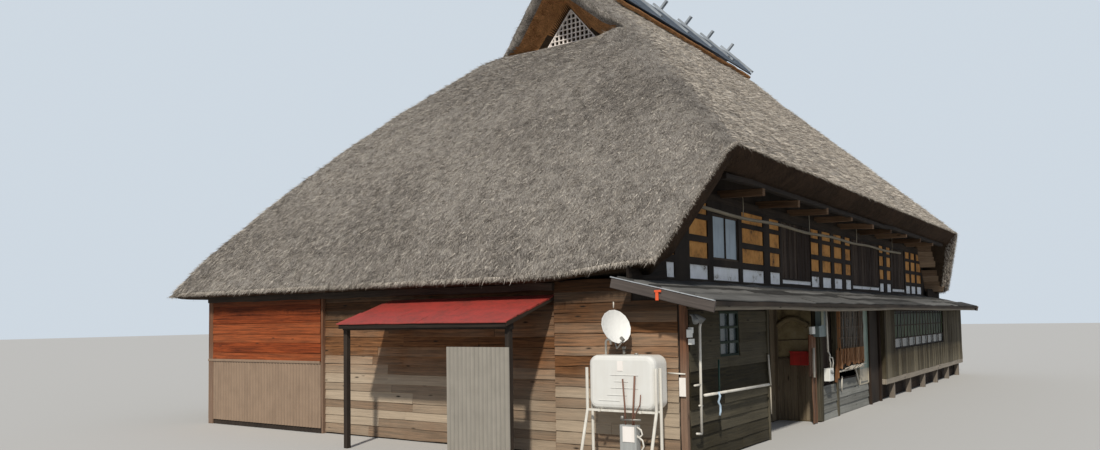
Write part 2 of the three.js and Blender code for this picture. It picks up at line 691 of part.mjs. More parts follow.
// Deep boards that close the two ends of the lean-to roof
function bargeboards() {
  const [low, high] = [LEANTO_EAVE_Y - 30, UPPER_FRONT + 90];
  const [above, below] = [25, 165];
  const profile = [
    [low, leantoTop(low) + above], [high, leantoTop(high) + above],
    [high, leantoTop(high) - below], [low, leantoTop(low) - below],
  ];
  piece('west_bargeboard', alongX(profile, [LEANTO_WEST - 40, LEANTO_WEST - GAP]), BROWN_WOOD);
  piece('east_bargeboard', alongX(profile, [LEANTO_EAST + GAP, LEANTO_EAST + 40]), BROWN_WOOD);
}

// Beam under the lean-to roof, with the posts of the open stretches of the front
function frontFrame() {
  const depth = [FRONT, FRONT + WALL];
  const beam = solid(box([WEST, EAST], depth, [WALL_TOP + GAP, 2600]));
  const spans = [DOORWAY[0], DOORWAY[1], EAST_BAY[0] - 120].map((x) => [x, x + 120]);
  const posts = [...spans, [EAST - POST, EAST]];
  const frame = posts.reduce((sum, span) => sum.add(solid(box(span, depth, [0, 2300]))), beam);
  piece('front_frame', trimmed(frame, underLeanto), DARK_WOOD);
}

// The front wall west of the entrance with its window, and the short wall beside the tall panel
function frontWalls() {
  const depth = [FRONT, FRONT + WALL];
  const window = [FRONT_WINDOW, [FRONT - 10, FRONT + WALL + 10], FRONT_WINDOW_Z];
  const west = plate([[WEST, ENTRANCE[0]], depth, [0, WALL_TOP]], [window]);
  piece('front_wall_west', trimmed(west), BROWN_WOOD);
  fitWindow('front_window_west', FRONT_WINDOW, FRONT_WINDOW_Z, FRONT + 15, 60, 2);
  piece('front_wall_middle', box([TALL_PANEL[1], EAST_BAY[0] - 120 - GAP], depth, [0, WALL_TOP]),
    BROWN_WOOD);
}

// The recessed entrance: its two sides, its back wall and the door in it
function entrance() {
  const [x0, x1] = ENTRANCE;
  const depth = [FRONT + WALL + GAP, UPPER_FRONT - GAP];
  const sides = { west: [x0 - WALL, x0], east: [x1, x1 + WALL] };
  for (const [name, span] of Object.entries(sides)) {
    const wall = solid(box(span, depth, [0, UPPER_WALL_Z[0] - 50]));
    piece(`entrance_side_${name}`, trimmed(wall, underLeanto), OCHRE);
  }
  const back = [UPPER_FRONT, UPPER_FRONT + WALL];
  const opening = [ENTRANCE_DOOR, [back[0] - 10, back[1] + 10], [-10, ENTRANCE_DOOR_TOP]];
  const wall = plate([[x0 - WALL, x1 + WALL], back, [0, ENTRANCE_BACK_TOP - GAP]], [opening]);
  piece('entrance_back_wall', trimmed(wall), BROWN_WOOD);
  piece('entrance_door', box([ENTRANCE_DOOR[0] + GAP, ENTRANCE_DOOR[1] - GAP],
    [back[0] + 30, back[0] + 70], [0, ENTRANCE_DOOR_TOP - GAP]), BROWN_WOOD);
}

// A bowed beam across the top of the entrance's east side
function bowedBeam() {
  const [y0, y1] = [FRONT + WALL + 60, UPPER_FRONT - 15];
  const [foot, depth, bow, thick] = [1960, 180, 190, 50];
  const middle = (y0 + y1) / 2;
  const shape = new THREE.Shape();
  shape.moveTo(y0, foot);
  shape.quadraticCurveTo(middle, foot + bow, y1, foot);
  shape.lineTo(y1, foot + depth);
  shape.quadraticCurveTo(middle, foot + depth + bow, y0, foot + depth);
  const geometry = new THREE.ExtrudeGeometry(shape,
    { depth: thick, bevelEnabled: false, curveSegments: 6 });
  geometry.rotateY(Math.PI / 2).rotateX(Math.PI / 2);
  piece('bowed_beam', geometry, BROWN_WOOD, [ENTRANCE[1] - thick - GAP, 0, 0]);
}

// The shallow lattice bay west of the tall panel, its lower slats broken off
function westBay() {
  const [x0, x1] = [WEST_BAY[0], WEST_BAY[1] - GAP];
  const [z0, z1] = WEST_BAY_Z;
  const face = [FRONT - BAY_DEPTH, FRONT - BAY_DEPTH + 40];
  const midZ = WEST_BAY_RAIL_Z;
  const rim = 55;
  const frame = plate([[x0, x1], face, [midZ - 40, z1]],
    [[[x0 + rim, x1 - rim], [face[0] - 5, face[1] + 5], [midZ + 30, z1 - rim]]]);
  const parts = [];
  for (const x of [x0, x1 - 40]) {
    parts.push(box([x, x + 40], [face[0], FRONT - GAP], [z0 + 80, z1]));
  }
  parts.push(box([x0, x1], [face[0], FRONT - GAP], [z1 - 40, z1]));
  const slats = 15;
  for (let slat = 0; slat < slats; slat += 1) {
    const x = x0 + 40 + (slat + 0.5) * (x1 - x0 - 80) / slats;
    const foot = z0 + 110 * Math.abs(Math.sin(slat * 2.3));
    parts.push(box([x - 16, x + 16], [face[0] + 8, face[1] - 8], [foot, z1 - 20]));
  }
  for (let rail = 1; rail <= 4; rail += 1) {
    const z = midZ + rail * (z1 - midZ) / 5;
    parts.push(box([x0 + 20, x1 - 20], [face[0] + 4, face[1] - 12], [z - 14, z + 14]));
  }
  piece('west_bay_lattice', toGeometry(frame.add(joined(parts))), GREY_WOOD);
}

// The low plank plinth, and the tall sheet panel that closes a doorway beside it
function plinthAndPanel() {
  piece('plank_plinth', box([DOORWAY[1] + 120 + GAP, TALL_PANEL[1] - GAP], [FRONT, FRONT + 50],
    [0, FLOOR_Z]), GREY_WOOD);
  piece('tall_panel', box([TALL_PANEL[0], TALL_PANEL[1] - GAP], [FRONT, FRONT + 45],
    [FLOOR_Z + GAP, WALL_TOP]), finish(0x7c857d, 0.7));
}

// The long bay at the east: boards, a band of windows, and a sill on short legs
function eastBay() {
  const [x0, x1] = [EAST_BAY[0] + GAP, EAST_BAY[1]];
  const face = [FRONT - BAY_DEPTH, FRONT - BAY_DEPTH + 50];
  const depth = [face[0], FRONT + WALL];
  const height = [EAST_BAY_FOOT, WALL_TOP + 290];
  const board = plate([[x0, x1], face, height],
    [[EAST_BAY_WINDOW, [face[0] - 10, face[1] + 10], EAST_BAY_WINDOW_Z]]);
  const ends = [[EAST + GAP, x1], [x0, x0 + 50]].map((span) => solid(box(span, depth, height)));
  const beam = solid(box([0, EAST + GAP], [FRONT - GAP, FRONT + WALL + 5], [WALL_TOP, 2700]));
  piece('east_bay_wall', trimmed(board.add(ends[0]).add(ends[1]), underLeanto, beam), BROWN_WOOD);
  fitWindow('east_bay_glass', EAST_BAY_WINDOW, EAST_BAY_WINDOW_Z, (face[0] + face[1]) / 2, 40, 7);
  const sill = box([x0, x1], depth, [FLOOR_Z - FLOOR_THICK, EAST_BAY_FOOT - GAP]);
  const legs = Array.from({ length: SILL_LEGS }, (_, number) => {
    const x = x0 + 900 + number * BAY;
    return box([x - 60, x + 60], [face[0] + 5, face[0] + 125], [0, FLOOR_Z - FLOOR_THICK + 10]);
  });
  const post = box([EAST - POST - GAP, EAST + GAP], [FRONT - GAP, FRONT + WALL + 5], [0, 900]);
  piece('east_bay_sill', trimmed(joined([sill, ...legs]), solid(post)), BROWN_WOOD);
}

// The west wall in its three stretches, the middle one set back, and the sheet at its foot
function westWalls() {
  const outer = [WEST, WEST + WALL];
  const inner = [WEST + WALL + GAP, WEST + 2 * WALL];
  const south = box(outer, [FRONT + WALL + GAP, WEST_LEDGE_Y], [0, SIDE_WALL_TOP]);
  const middle = box(inner, [WEST_LEDGE_Y - WALL, NORTH_PART_Y + WALL],
    [0, SIDE_WALL_TOP + 120]);
  const north = box(outer, [NORTH_PART_Y, BACK - WALL - GAP], [0, SIDE_WALL_TOP]);
  piece('west_wall_south', trimmed(solid(south), underThatch, underLeanto), BROWN_WOOD);
  piece('west_wall_middle', trimmed(solid(middle), underThatch), BROWN_WOOD);
  piece('west_wall_north', trimmed(solid(north), underThatch), RED_WOOD);
  piece('sheet_skirt', box([WEST - 25, WEST - GAP], [NORTH_PART_Y, BACK], SKIRT_Z), TAN_METAL);
}

// The back wall with its three windows, and the plain east wall
function backAndEastWalls() {
  const openings = BACK_WINDOW_X.map((x) => [x - BACK_WINDOW_HALF, x + BACK_WINDOW_HALF]);
  const depth = [BACK - WALL, BACK];
  const back = plate([[WEST, EAST], depth, [0, BACK_WALL_TOP]],
    openings.map((span) => [span, [depth[0] - 10, depth[1] + 10], BACK_WINDOW_Z]));
  piece('back_wall', trimmed(back, underThatch), BROWN_WOOD);
  for (const [number, span] of openings.entries()) {
    fitWindow(`back_window_${number + 1}`, span, BACK_WINDOW_Z, BACK - 45, 60, 2);
  }
  const east = box([EAST - WALL, EAST], [FRONT + WALL + GAP, BACK - WALL - GAP],
    [0, SIDE_WALL_TOP]);
  piece('east_wall', trimmed(solid(east), underThatch, underLeanto), BROWN_WOOD);
}

// The low red roof on the west side, on two posts
function redLeanto() {
  const [y0, y1] = RED_ROOF_Y;
  const high = [WEST + WALL - GAP, RED_ROOF_TOP_Z];
  const low = RED_ROOF_LOW;
  const thick = 40;
  const corners = [high, low, [low[0], low[1] - thick], [high[0], high[1] - thick]];
  piece('red_leanto_roof', hull(corners.flatMap(([x, z]) => [[x, y0, z], [x, y1, z]])), RED_METAL);
  const slope = (high[1] - low[1]) / (high[0] - low[0]);
  const beamTop = low[1] + (RED_ROOF_BEAM_X[0] - low[0]) * slope - thick - GAP;
  const beam = box(RED_ROOF_BEAM_X, [y0 + 20, y1 - 20], [beamTop - 100, beamTop]);
  const posts = [y0 + 40, y1 - 120].map((y) =>
    box(RED_ROOF_BEAM_X, [y, y + 80], [0, beamTop - 20]));
  piece('red_leanto_frame', toGeometry(joined([beam, ...posts])), BROWN_WOOD);
  piece('grey_screen', box([RED_ROOF_BEAM_X[0] - 25, RED_ROOF_BEAM_X[0] - GAP],
    [y0 + 30, y0 + 30 + SCREEN_LENGTH], SCREEN_Z), finish(0xb8bcbc, 0.6));
}

// A heating-oil tank with rounded edges, on pipe legs
function oilTank() {
  const { length, height, depth } = TANK_SIZE;
  const [round, bevel] = [TANK_ROUND, TANK_BEVEL];
  const [halfL, halfH] = [length / 2 - bevel, height / 2 - bevel];
  const shape = new THREE.Shape();
  shape.moveTo(-halfL + round, -halfH);
  shape.lineTo(halfL - round, -halfH);
  shape.absarc(halfL - round, -halfH + round, round, -Math.PI / 2, 0);
  shape.absarc(halfL - round, halfH - round, round, 0, Math.PI / 2);
  shape.absarc(-halfL + round, halfH - round, round, Math.PI / 2, Math.PI);
  shape.absarc(-halfL + round, -halfH + round, round, Math.PI, 1.5 * Math.PI);
  const geometry = new THREE.ExtrudeGeometry(shape, {
    depth: depth - 2 * bevel, bevelEnabled: true, bevelThickness: bevel, bevelSize: bevel,
    bevelSegments: 3, curveSegments: 5,
  });
  geometry.translate(0, 0, bevel).rotateX(Math.PI / 2).rotateZ(Math.PI / 2);
  piece('oil_tank', toGeometry(solid(geometry)), WHITE,
    [TANK_X, TANK_Y, TANK_FOOT + height / 2]);
}

// Rails from the wall under the tank, and a straight and a splayed leg at each end of it
function tankStand() {
  const top = TANK_FOOT - GAP;
  const under = [top - STAND_BAR, top];
  const half = STAND_BAR / 2;
  const overhang = 60;
  const reach = TANK_SIZE.length / 2 + GAP + STAND_LEG_RADIUS;
  const rails = [-STAND_RAIL_OFFSET, STAND_RAIL_OFFSET].map((offset) => {
    const y = TANK_Y + offset;
    return box([STAND_LEG_X[0] - overhang, WEST - GAP], [y - half, y + half], under);
  });
  const beams = STAND_LEG_X.map((x) =>
    box([x - half, x + half], [TANK_Y - reach, TANK_Y + reach], under));
  const legs = [-reach, reach].flatMap((offset) => {
    const y = TANK_Y + offset;
    const [outer, inner] = STAND_LEG_X;
    const elbow = [outer, y, top - half];
    return [
      bar([inner, y, 0], [inner, y, STAND_LEG_TOP_Z], STAND_LEG_RADIUS, 8),
      bar(elbow, [outer, y, STAND_LEG_TOP_Z], STAND_LEG_RADIUS, 8),
      bar([outer - STAND_SPREAD, y, 8], elbow, STAND_LEG_RADIUS, 8),
    ];
  });
  piece('tank_stand', toGeometry(joined([...rails, ...beams, ...legs])), PIPE);
}

// A small dish aerial, its mount on the wall, and the receiver on an arm in front of it
function satelliteDish() {
  const sheet = 12;
  const steps = 5;
  const front = Array.from({ length: steps + 1 }, (_, step) => {
    const share = step / steps;
    return new THREE.Vector2(DISH_RADIUS * share, DISH_DEPTH * share ** 2);
  });
  const back = front.map((point) => new THREE.Vector2(point.x, point.y - sheet));
  const facing = new THREE.Vector3(-0.37, -0.88, 0.3).normalize();
  const turn = new THREE.Quaternion().setFromUnitVectors(new THREE.Vector3(0, 1, 0), facing);
  const centre = new THREE.Vector3(...DISH_CENTRE);
  const bowl = new THREE.LatheGeometry([...back, ...front.reverse()], 16);
  bowl.applyQuaternion(turn);
  piece('satellite_dish', toGeometry(solid(bowl)), WHITE, centre.toArray());

  const down = new THREE.Vector3(0, 0, -1).projectOnPlane(facing).normalize();
  const at = (along, drop) => centre.clone().addScaledVector(facing, along)
    .addScaledVector(down, drop).toArray();
  const joint = at(-sheet - GAP - 60, 0);
  const wallPoint = [WEST - 12, joint[1], joint[2] - 120];
  const receiver = at(150, 235);
  const elbow = at(-30, 300);
  piece('dish_mount', toGeometry(joined([
    bar(at(-sheet - GAP - 0.2, 0), joint, 30),
    bar(joint, wallPoint, 16, 6),
    box([WEST - 20, WEST - GAP], [wallPoint[1] - 60, wallPoint[1] + 60],
      [wallPoint[2] - 80, wallPoint[2] + 80]),
    bar(joint, elbow, 11, 6),
    bar(elbow, receiver, 11, 6),
    bar(receiver, at(110, 185), 26, 8),
  ])), PIPE);
}

// The red letter box on the east side of the entrance
function letterBox() {
  const face = ENTRANCE[1] - GAP;
  piece('letter_box', box([face - 130, face], LETTER_BOX_Y, LETTER_BOX_Z), RED_METAL);
}

ridgeCover();
ridgePoleAndCrosses();
gableLattice('west_gable_lattice', -1);
gableLattice('east_gable_lattice', 1);
upperFrame();
upperPlaster();
upperWindow();
upperShutters();
eaveArms();
upperFrieze();
hangingPole();
floors();
innerFrame();
leantoRoof();
bargeboards();
frontFrame();
frontWalls();
entrance();
bowedBeam();
westBay();
plinthAndPanel();
eastBay();
westWalls();
backAndEastWalls();
redLeanto();
oilTank();
tankStand();
satelliteDish();
letterBox();

// The house stands with its origin at the middle of its footprint, on the ground
house.updateMatrixWorld(true);
const bounds = new THREE.Box3().setFromObject(house);
const centre = bounds.getCenter(new THREE.Vector3());
house.position.set(-centre.x, -centre.y, -bounds.min.z);

export default house;
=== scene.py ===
"""A thatched timber farmhouse with a raised front eave, dressed in weathered reed, boards and plaster."""
import math

import bpy
import numpy as np
from mathutils import Matrix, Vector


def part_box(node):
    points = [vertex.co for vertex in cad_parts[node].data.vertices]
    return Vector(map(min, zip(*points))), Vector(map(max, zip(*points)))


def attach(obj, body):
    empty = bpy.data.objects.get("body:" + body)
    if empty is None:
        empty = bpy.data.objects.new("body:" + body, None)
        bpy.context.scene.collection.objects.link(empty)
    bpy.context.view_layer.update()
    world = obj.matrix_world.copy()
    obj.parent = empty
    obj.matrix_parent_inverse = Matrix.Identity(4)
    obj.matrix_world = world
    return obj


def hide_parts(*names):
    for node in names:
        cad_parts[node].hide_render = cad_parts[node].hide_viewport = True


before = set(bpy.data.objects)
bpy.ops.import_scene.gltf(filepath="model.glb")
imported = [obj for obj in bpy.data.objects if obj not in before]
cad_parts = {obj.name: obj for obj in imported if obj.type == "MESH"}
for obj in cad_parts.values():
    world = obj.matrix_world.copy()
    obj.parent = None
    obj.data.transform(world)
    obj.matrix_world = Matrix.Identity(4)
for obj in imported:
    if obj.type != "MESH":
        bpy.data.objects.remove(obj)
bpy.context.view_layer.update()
scene = bpy.context.scene

# The view: a pale floor, a low soft key light from the front left, and a camera at eye height
# that stands off the corner where the hip end meets the front.
CAMERA_PLACE = (-21.102, -11.267, 2.10)
CAMERA_YAW, CAMERA_PITCH, CAMERA_ROLL = 34.618, 3.0, -0.896
FOCAL_PIXELS, CENTRE_ROW = 854.8, 274.1
IMAGE_SIZE = (1100, 450)
SENSOR_WIDTH, CLIP_END = 36, 400
FLOOR_COLOUR, FLOOR_ROUGHNESS, FLOOR_HALF = (0.46, 0.45, 0.43, 1), 0.9, 150
SKY_COLOUR, SKY_STRENGTH, BACKDROP_COLOUR = (0.74, 0.84, 1.0, 1), 0.46, (0.62, 0.69, 0.76, 1)
SUN_STRENGTH, SUN_WIDTH, SUN_COLOUR, SUN_TURN = 3.6, 2.5, (1.0, 0.95, 0.86), (47, 0, -66)

camera = bpy.data.objects.new("camera", bpy.data.cameras.new("camera"))
scene.collection.objects.link(camera)
camera.data.sensor_width = SENSOR_WIDTH
camera.data.lens = SENSOR_WIDTH * FOCAL_PIXELS / IMAGE_SIZE[0]
camera.data.shift_y = (IMAGE_SIZE[1] / 2 - CENTRE_ROW) / -IMAGE_SIZE[0]
camera.data.clip_end = CLIP_END
aim = (Matrix.Rotation(math.radians(CAMERA_YAW - 90), 4, "Z")
       @ Matrix.Rotation(math.radians(CAMERA_PITCH + 90), 4, "X")
       @ Matrix.Rotation(math.radians(CAMERA_ROLL), 4, "Z"))
camera.matrix_world = Matrix.Translation(CAMERA_PLACE) @ aim
scene.camera = camera

floor_mesh = bpy.data.meshes.new("floor")
floor_mesh.from_pydata([(x * FLOOR_HALF, y * FLOOR_HALF, 0) for x, y in ((-1, -1), (1, -1), (1, 1), (-1, 1))],
                       [], [(0, 1, 2, 3)])
floor = bpy.data.objects.new("floor", floor_mesh)
scene.collection.objects.link(floor)
floor_paint = bpy.data.materials.new("floor")
floor_paint.use_nodes = True
floor_shader = floor_paint.node_tree.nodes["Principled BSDF"]
floor_shader.inputs["Base Color"].default_value = FLOOR_COLOUR
floor_shader.inputs["Roughness"].default_value = FLOOR_ROUGHNESS
floor_mesh.materials.append(floor_paint)

sun = bpy.data.objects.new("key_light", bpy.data.lights.new("key_light", "SUN"))
scene.collection.objects.link(sun)
sun.data.energy = SUN_STRENGTH
sun.data.angle = math.radians(SUN_WIDTH)
sun.data.color = SUN_COLOUR
sun.rotation_euler = [math.radians(turn) for turn in SUN_TURN]
world = bpy.data.worlds.new("sky")
world.use_nodes = True
sky_tree, fill = world.node_tree, world.node_tree.nodes["Background"]
fill.inputs["Color"].default_value = SKY_COLOUR
fill.inputs["Strength"].default_value = SKY_STRENGTH
backdrop = sky_tree.nodes.new("ShaderNodeBackground")
backdrop.inputs["Color"].default_value = BACKDROP_COLOUR
seen, choice = sky_tree.nodes.new("ShaderNodeLightPath"), sky_tree.nodes.new("ShaderNodeMixShader")
sky_tree.links.new(seen.outputs["Is Camera Ray"], choice.inputs[0])
sky_tree.links.new(fill.outputs[0], choice.inputs[1])
sky_tree.links.new(backdrop.outputs[0], choice.inputs[2])
sky_tree.links.new(choice.outputs[0], sky_tree.nodes["World Output"].inputs["Surface"])
scene.world = world
scene.view_settings.view_transform = "Standard"

# The thatch: one thick coat of reed over the whole roof, combed down the slopes, with rounded hips,
# eaves cut square, a long raised eave in front and a hooded recess at each end of the ridge.
ridge_low, ridge_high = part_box("ridge_pole_and_crosses")
RIDGE_X, RIDGE_Y = (ridge_low[0] + ridge_high[0]) / 2, (ridge_low[1] + ridge_high[1]) / 2
EAVE_Z, EAVE_X, EAVE_BACK = 2.85, 10.95, 7.05
LIP_Z, LIP_X, LIP_BACK = 8.50, 5.55, 1.914
SLOPE_BULGE = 0.32
FRONT_EAVE_Y, FRONT_EAVE_Z, FRONT_SLOPE = -5.96, 4.72, 5.11 / 4.95
FRONT_ROUND, FRONT_ROUND_GAIN, FRONT_ROUND_LOSS, BACK_ROUND = 0.18, 0.72, 0.2, 1.0
CUT_LEAN, END_TURN = 0.324, 0.10
COAT = 0.35
LOW_EAVE_SPAN, FORWARD_FROM, FORWARD_SPAN = 0.5, -3.2, 2.15
EAVE_DROOP, CORNER_LIFT, DROOP_REACH = 0.12, 0.15, 1.2
LIP_DIP, DIP_HALF, DIP_FADE, DIP_REACH = 0.17, 1.75, 0.5, 0.9
SOFFIT_RISE, SOFFIT_Z, SOFFIT_INSET, SOFFIT_SHARE, EDGE_ROUND = 0.06, 2.72, 0.52, 0.6, 0.035
SHOULDER_Y, SHOULDER_Z, APEX_Z = 0.85, 9.67, 10.40
SHOULDER_OUT, APEX_OUT = 1.06, 1.09
SADDLE_END, END_DIP, SHOULDER_DRAW, SHOULDER_DROP, APEX_DROP = 4.3, 0.45, 0.8, 0.25, 0.7
LATTICE_X, LATTICE_HALF, LATTICE_Z = 4.70, 0.694, (8.65, 9.47)
HOOD_DEPTHS = (0, 0.05, 0.12, 0.22, 0.35, 0.5, 0.65, 0.8, 1.0, 1.12)
HOLLOW_DEPTHS, HOLLOW_DROPS, HOLLOW_FADE, PAST_LATTICE = (0, 0.05, 0.12, 1), (0, 0.06, 0.10, 0), 0.12, 0.12
LINING_X, LINING_TOP, RAKE_DEPTH, RAKE_FLARE, GAP_DEPTH, FLOOR_TILT = 4.40, 9.6, 0.37, 0.27, 0.10, 0.3
STATIONS = (170, 300, 170, 300)
SKIRT_ROWS, LINING_STEP, LEG_ROWS, CUT_ROWS = 64, 9, 12, 7
CORNER_SHARE = 0.035
WELD_SPAN = 0.0005


def eased(share):
    """A smoothstep from 0 to 1: level at both ends and steepest in the middle."""
    return share * share * (3 - 2 * share)


def noise(points, size, seed):
    """Smooth noise from -1 to 1: random values on a cubic lattice of the given spacing, repeated every
    32 cells, and blended between the 8 corners of a cell by the smoothstep of the place in it."""
    table = np.random.default_rng(seed).uniform(-1, 1, (32, 32, 32))
    place = np.asarray(points) / size
    cell = np.floor(place).astype(int)
    share = place - cell
    share = eased(share)
    total = np.zeros(place.shape[:-1])
    for corner in np.ndindex(2, 2, 2):
        weight = np.prod(np.where(np.array(corner) == 1, share, 1 - share), axis=-1)
        x, y, z = np.moveaxis((cell + corner) % 32, -1, 0)
        total += weight * table[x, y, z]
    return total


def bulged(z, low, high):
    """A straight slope from low at the eave to high at the lip, plus a parabola that bulges half way up."""
    share = (z - EAVE_Z) / (LIP_Z - EAVE_Z)
    return low + (high - low) * share + np.maximum(4 * SLOPE_BULGE * share * (1 - share), 0)


def ring(station, z, inset):
    """The roof's plan at height z: a rectangle with round corners. A station's whole part is its side
    (west, front, east, back) and its fraction runs from corner to corner, with half of each round
    corner in the first and last share of it. An inset draws the plan in and lowers it as much."""
    x = bulged(z, EAVE_X, LIP_X) - inset
    back = bulged(z, EAVE_BACK, LIP_BACK) - inset
    front = FRONT_EAVE_Y + (z - FRONT_EAVE_Z) * FRONT_SLOPE + inset
    rise = np.clip((z - FRONT_EAVE_Z) / (LIP_Z - FRONT_EAVE_Z), 0, 1)
    front_round = FRONT_ROUND + FRONT_ROUND_GAIN * rise - FRONT_ROUND_LOSS * inset
    back_round = BACK_ROUND - inset
    side = np.floor(station).astype(int) % 4
    along = station - np.floor(station)
    length = np.where(side % 2 == 1, 2 * x, back - front)
    first = np.where((side == 0) | (side == 3), back_round, front_round)
    last = np.where((side == 2) | (side == 3), back_round, front_round)
    start_turn = np.clip(1 - along / CORNER_SHARE, 0, 1) * math.pi / 4
    end_turn = np.clip((along - 1) / CORNER_SHARE + 1, 0, 1) * math.pi / 4
    straight = np.clip((along - CORNER_SHARE) / (1 - 2 * CORNER_SHARE), 0, 1)
    run = first * (1 - np.sin(start_turn)) + straight * (length - first - last) + last * np.sin(end_turn)
    inward = first * (1 - np.cos(start_turn)) + last * (1 - np.cos(end_turn))
    place_x = np.choose(side, [inward - x, run - x, x - inward, x - run])
    place_y = np.choose(side, [back - run, front + inward, front + run, back - inward])
    return np.stack([place_x, place_y, z - inset + 0 * place_x], axis=-1)


def cut_line(z):
    """How far forward the hip ends reach at height z: they are cut to a line that leans back downwards."""
    return FRONT_EAVE_Y + CUT_LEAN * (FRONT_EAVE_Z - z)


def eave_height(station):
    """The lowest height of the coat at each station, by halving: the eave, or where the ring comes back
    behind the cut of the hip end."""
    low, high = np.full(station.shape, EAVE_Z), np.full(station.shape, FRONT_EAVE_Z)
    for _ in range(24):
        middle = (low + high) / 2
        behind = ring(station, middle, 0)[..., 1] >= cut_line(middle)
        low, high = np.where(behind, low, middle), np.where(behind, middle, high)
    return high


def saddle_patch(front_line, back_line):
    """The cap over the ridge from the front lip over a shoulder, the apex and the other shoulder to the
    back lip. Towards each gablet the shoulders draw in and the apex drops to a plain triangle."""
    line_x = front_line[:, 0]
    dip = np.maximum(np.abs(line_x) - SADDLE_END, 0) * END_DIP
    shoulders = [np.stack([line_x * SHOULDER_OUT, way * (SHOULDER_Y - SHOULDER_DRAW * dip),
                           SHOULDER_Z - SHOULDER_DROP * dip], axis=-1) for way in (-1, 1)]
    apex = np.stack([line_x * APEX_OUT, 0 * line_x, APEX_Z - APEX_DROP * dip], axis=-1)
    legs = [front_line, shoulders[0], apex, shoulders[1], back_line]
    share = np.linspace(0, 1, LEG_ROWS + 1)[:-1, None, None]
    rows = [low + (high - low) * share for low, high in zip(legs, legs[1:])]
    return np.concatenate(rows + [back_line[None]])


def hood_patch(outer, way):
    """The recess of a gablet: it runs from the outer edge, closed by lip and rake, in to the triangle of
    the lattice and a little past it, where it ends in a point behind the lattice."""
    lip_count = np.count_nonzero(outer[:, 2] < LIP_Z + 0.001)
    base = np.linspace(1, -1, lip_count)
    climb = np.linspace(-1, 1, len(outer) - lip_count + 1)[1:]
    inner_y = np.concatenate([base, climb]) * LATTICE_HALF
    inner_z = np.concatenate([0 * base, 1 - np.abs(climb)]) * (LATTICE_Z[1] - LATTICE_Z[0]) + LATTICE_Z[0]
    inner = np.stack([0 * inner_y + way * LATTICE_X, inner_y, inner_z], axis=-1)
    depth = np.array(HOOD_DEPTHS)[:, None, None]
    hood = outer + (inner - outer) * np.minimum(depth, 1)
    roof = np.concatenate([0 * base, np.clip((1 - np.abs(climb)) / HOLLOW_FADE, 0, 1)])
    hood[..., 2] -= np.interp(depth[..., 0], HOLLOW_DEPTHS, HOLLOW_DROPS) * roof
    hood[-1, :, 0] -= way * PAST_LATTICE
    centre = np.repeat(hood[-1].mean(axis=0)[None, None], hood.shape[1], axis=1)
    return np.concatenate([hood, centre])


def thatch_patches():
    """The grids of the coat, which share their edges: skirt, saddle, two hoods, cut eave, inner face."""
    station = np.concatenate([side + np.arange(count) / count for side, count in enumerate(STATIONS)])
    foot = eave_height(station)
    share = np.linspace(0, 1, SKIRT_ROWS)[:, None]
    skirt = ring(station[None, :] + 0 * share, foot + (LIP_Z - foot) * share, 0)
    low_eave = np.clip(1 - (foot - EAVE_Z) / LOW_EAVE_SPAN, 0, 1)
    forward = np.clip((FORWARD_FROM - skirt[0, :, 1]) / FORWARD_SPAN, 0, 1)
    droop = low_eave * (EAVE_DROOP - CORNER_LIFT * eased(forward))
    skirt[..., 2] -= droop * np.clip(1 - (skirt[..., 2] - foot) / DROOP_REACH, 0, 1) ** 2
    middle = eased(np.clip((DIP_HALF - np.abs(skirt[..., 1])) / DIP_FADE, 0, 1))
    skirt[..., 2] -= LIP_DIP * middle * np.clip(1 - (LIP_Z - skirt[..., 2]) / DIP_REACH, 0, 1)
    west, front, east, _ = np.cumsum(STATIONS)
    top = skirt[-1]
    back_line = np.concatenate([top[:1], top[east:][::-1]])
    saddle = saddle_patch(top[west:front + 1], back_line)
    hoods = [hood_patch(np.concatenate([top[:west + 1], saddle[1:, 0]]), -1),
             hood_patch(np.concatenate([top[front:east + 1][::-1], saddle[1:, -1]]), 1)]
    lining = share[::LINING_STEP]
    inside = ring(station[None, :] + 0 * lining, foot + (LIP_Z - foot) * lining, COAT)
    soffit = ring(station, foot, SOFFIT_INSET)
    soffit[:, 2] = SOFFIT_Z
    between = inside[0] * SOFFIT_SHARE + inside[1] * (1 - SOFFIT_SHARE)
    soffit = soffit * low_eave[:, None] + between * (1 - low_eave[:, None])
    inside[0, :, 2] += low_eave * (skirt[0, :, 2] - SOFFIT_RISE - inside[0, :, 2])
    inside = np.concatenate([inside[:1], soffit[None], inside[1:]])
    inside[..., 1] = np.maximum(inside[..., 1], cut_line(inside[..., 2]) + END_TURN)
    drawn_in = inside[-1:].copy()
    drawn_in[..., 0] = np.clip(drawn_in[..., 0], -LINING_X, LINING_X)
    inside = np.concatenate([inside, drawn_in, 0 * drawn_in + (0, 0, LINING_TOP)])
    lap = np.linspace(0, 1, CUT_ROWS)[:, None, None]
    thick = skirt[0] - inside[0]
    level = np.linalg.norm(thick[:, :2], axis=1, keepdims=True)
    outward = np.concatenate([thick[:, :2] * thick[:, 2:] / np.maximum(level, 0.01), -level], axis=1)
    outward /= np.linalg.norm(outward, axis=1, keepdims=True)
    cut = inside[0] + thick * lap + outward * EDGE_ROUND * np.sin(lap * math.pi)
    return [skirt, saddle, hoods[0], hoods[1][:, ::-1], cut, inside[::-1]]


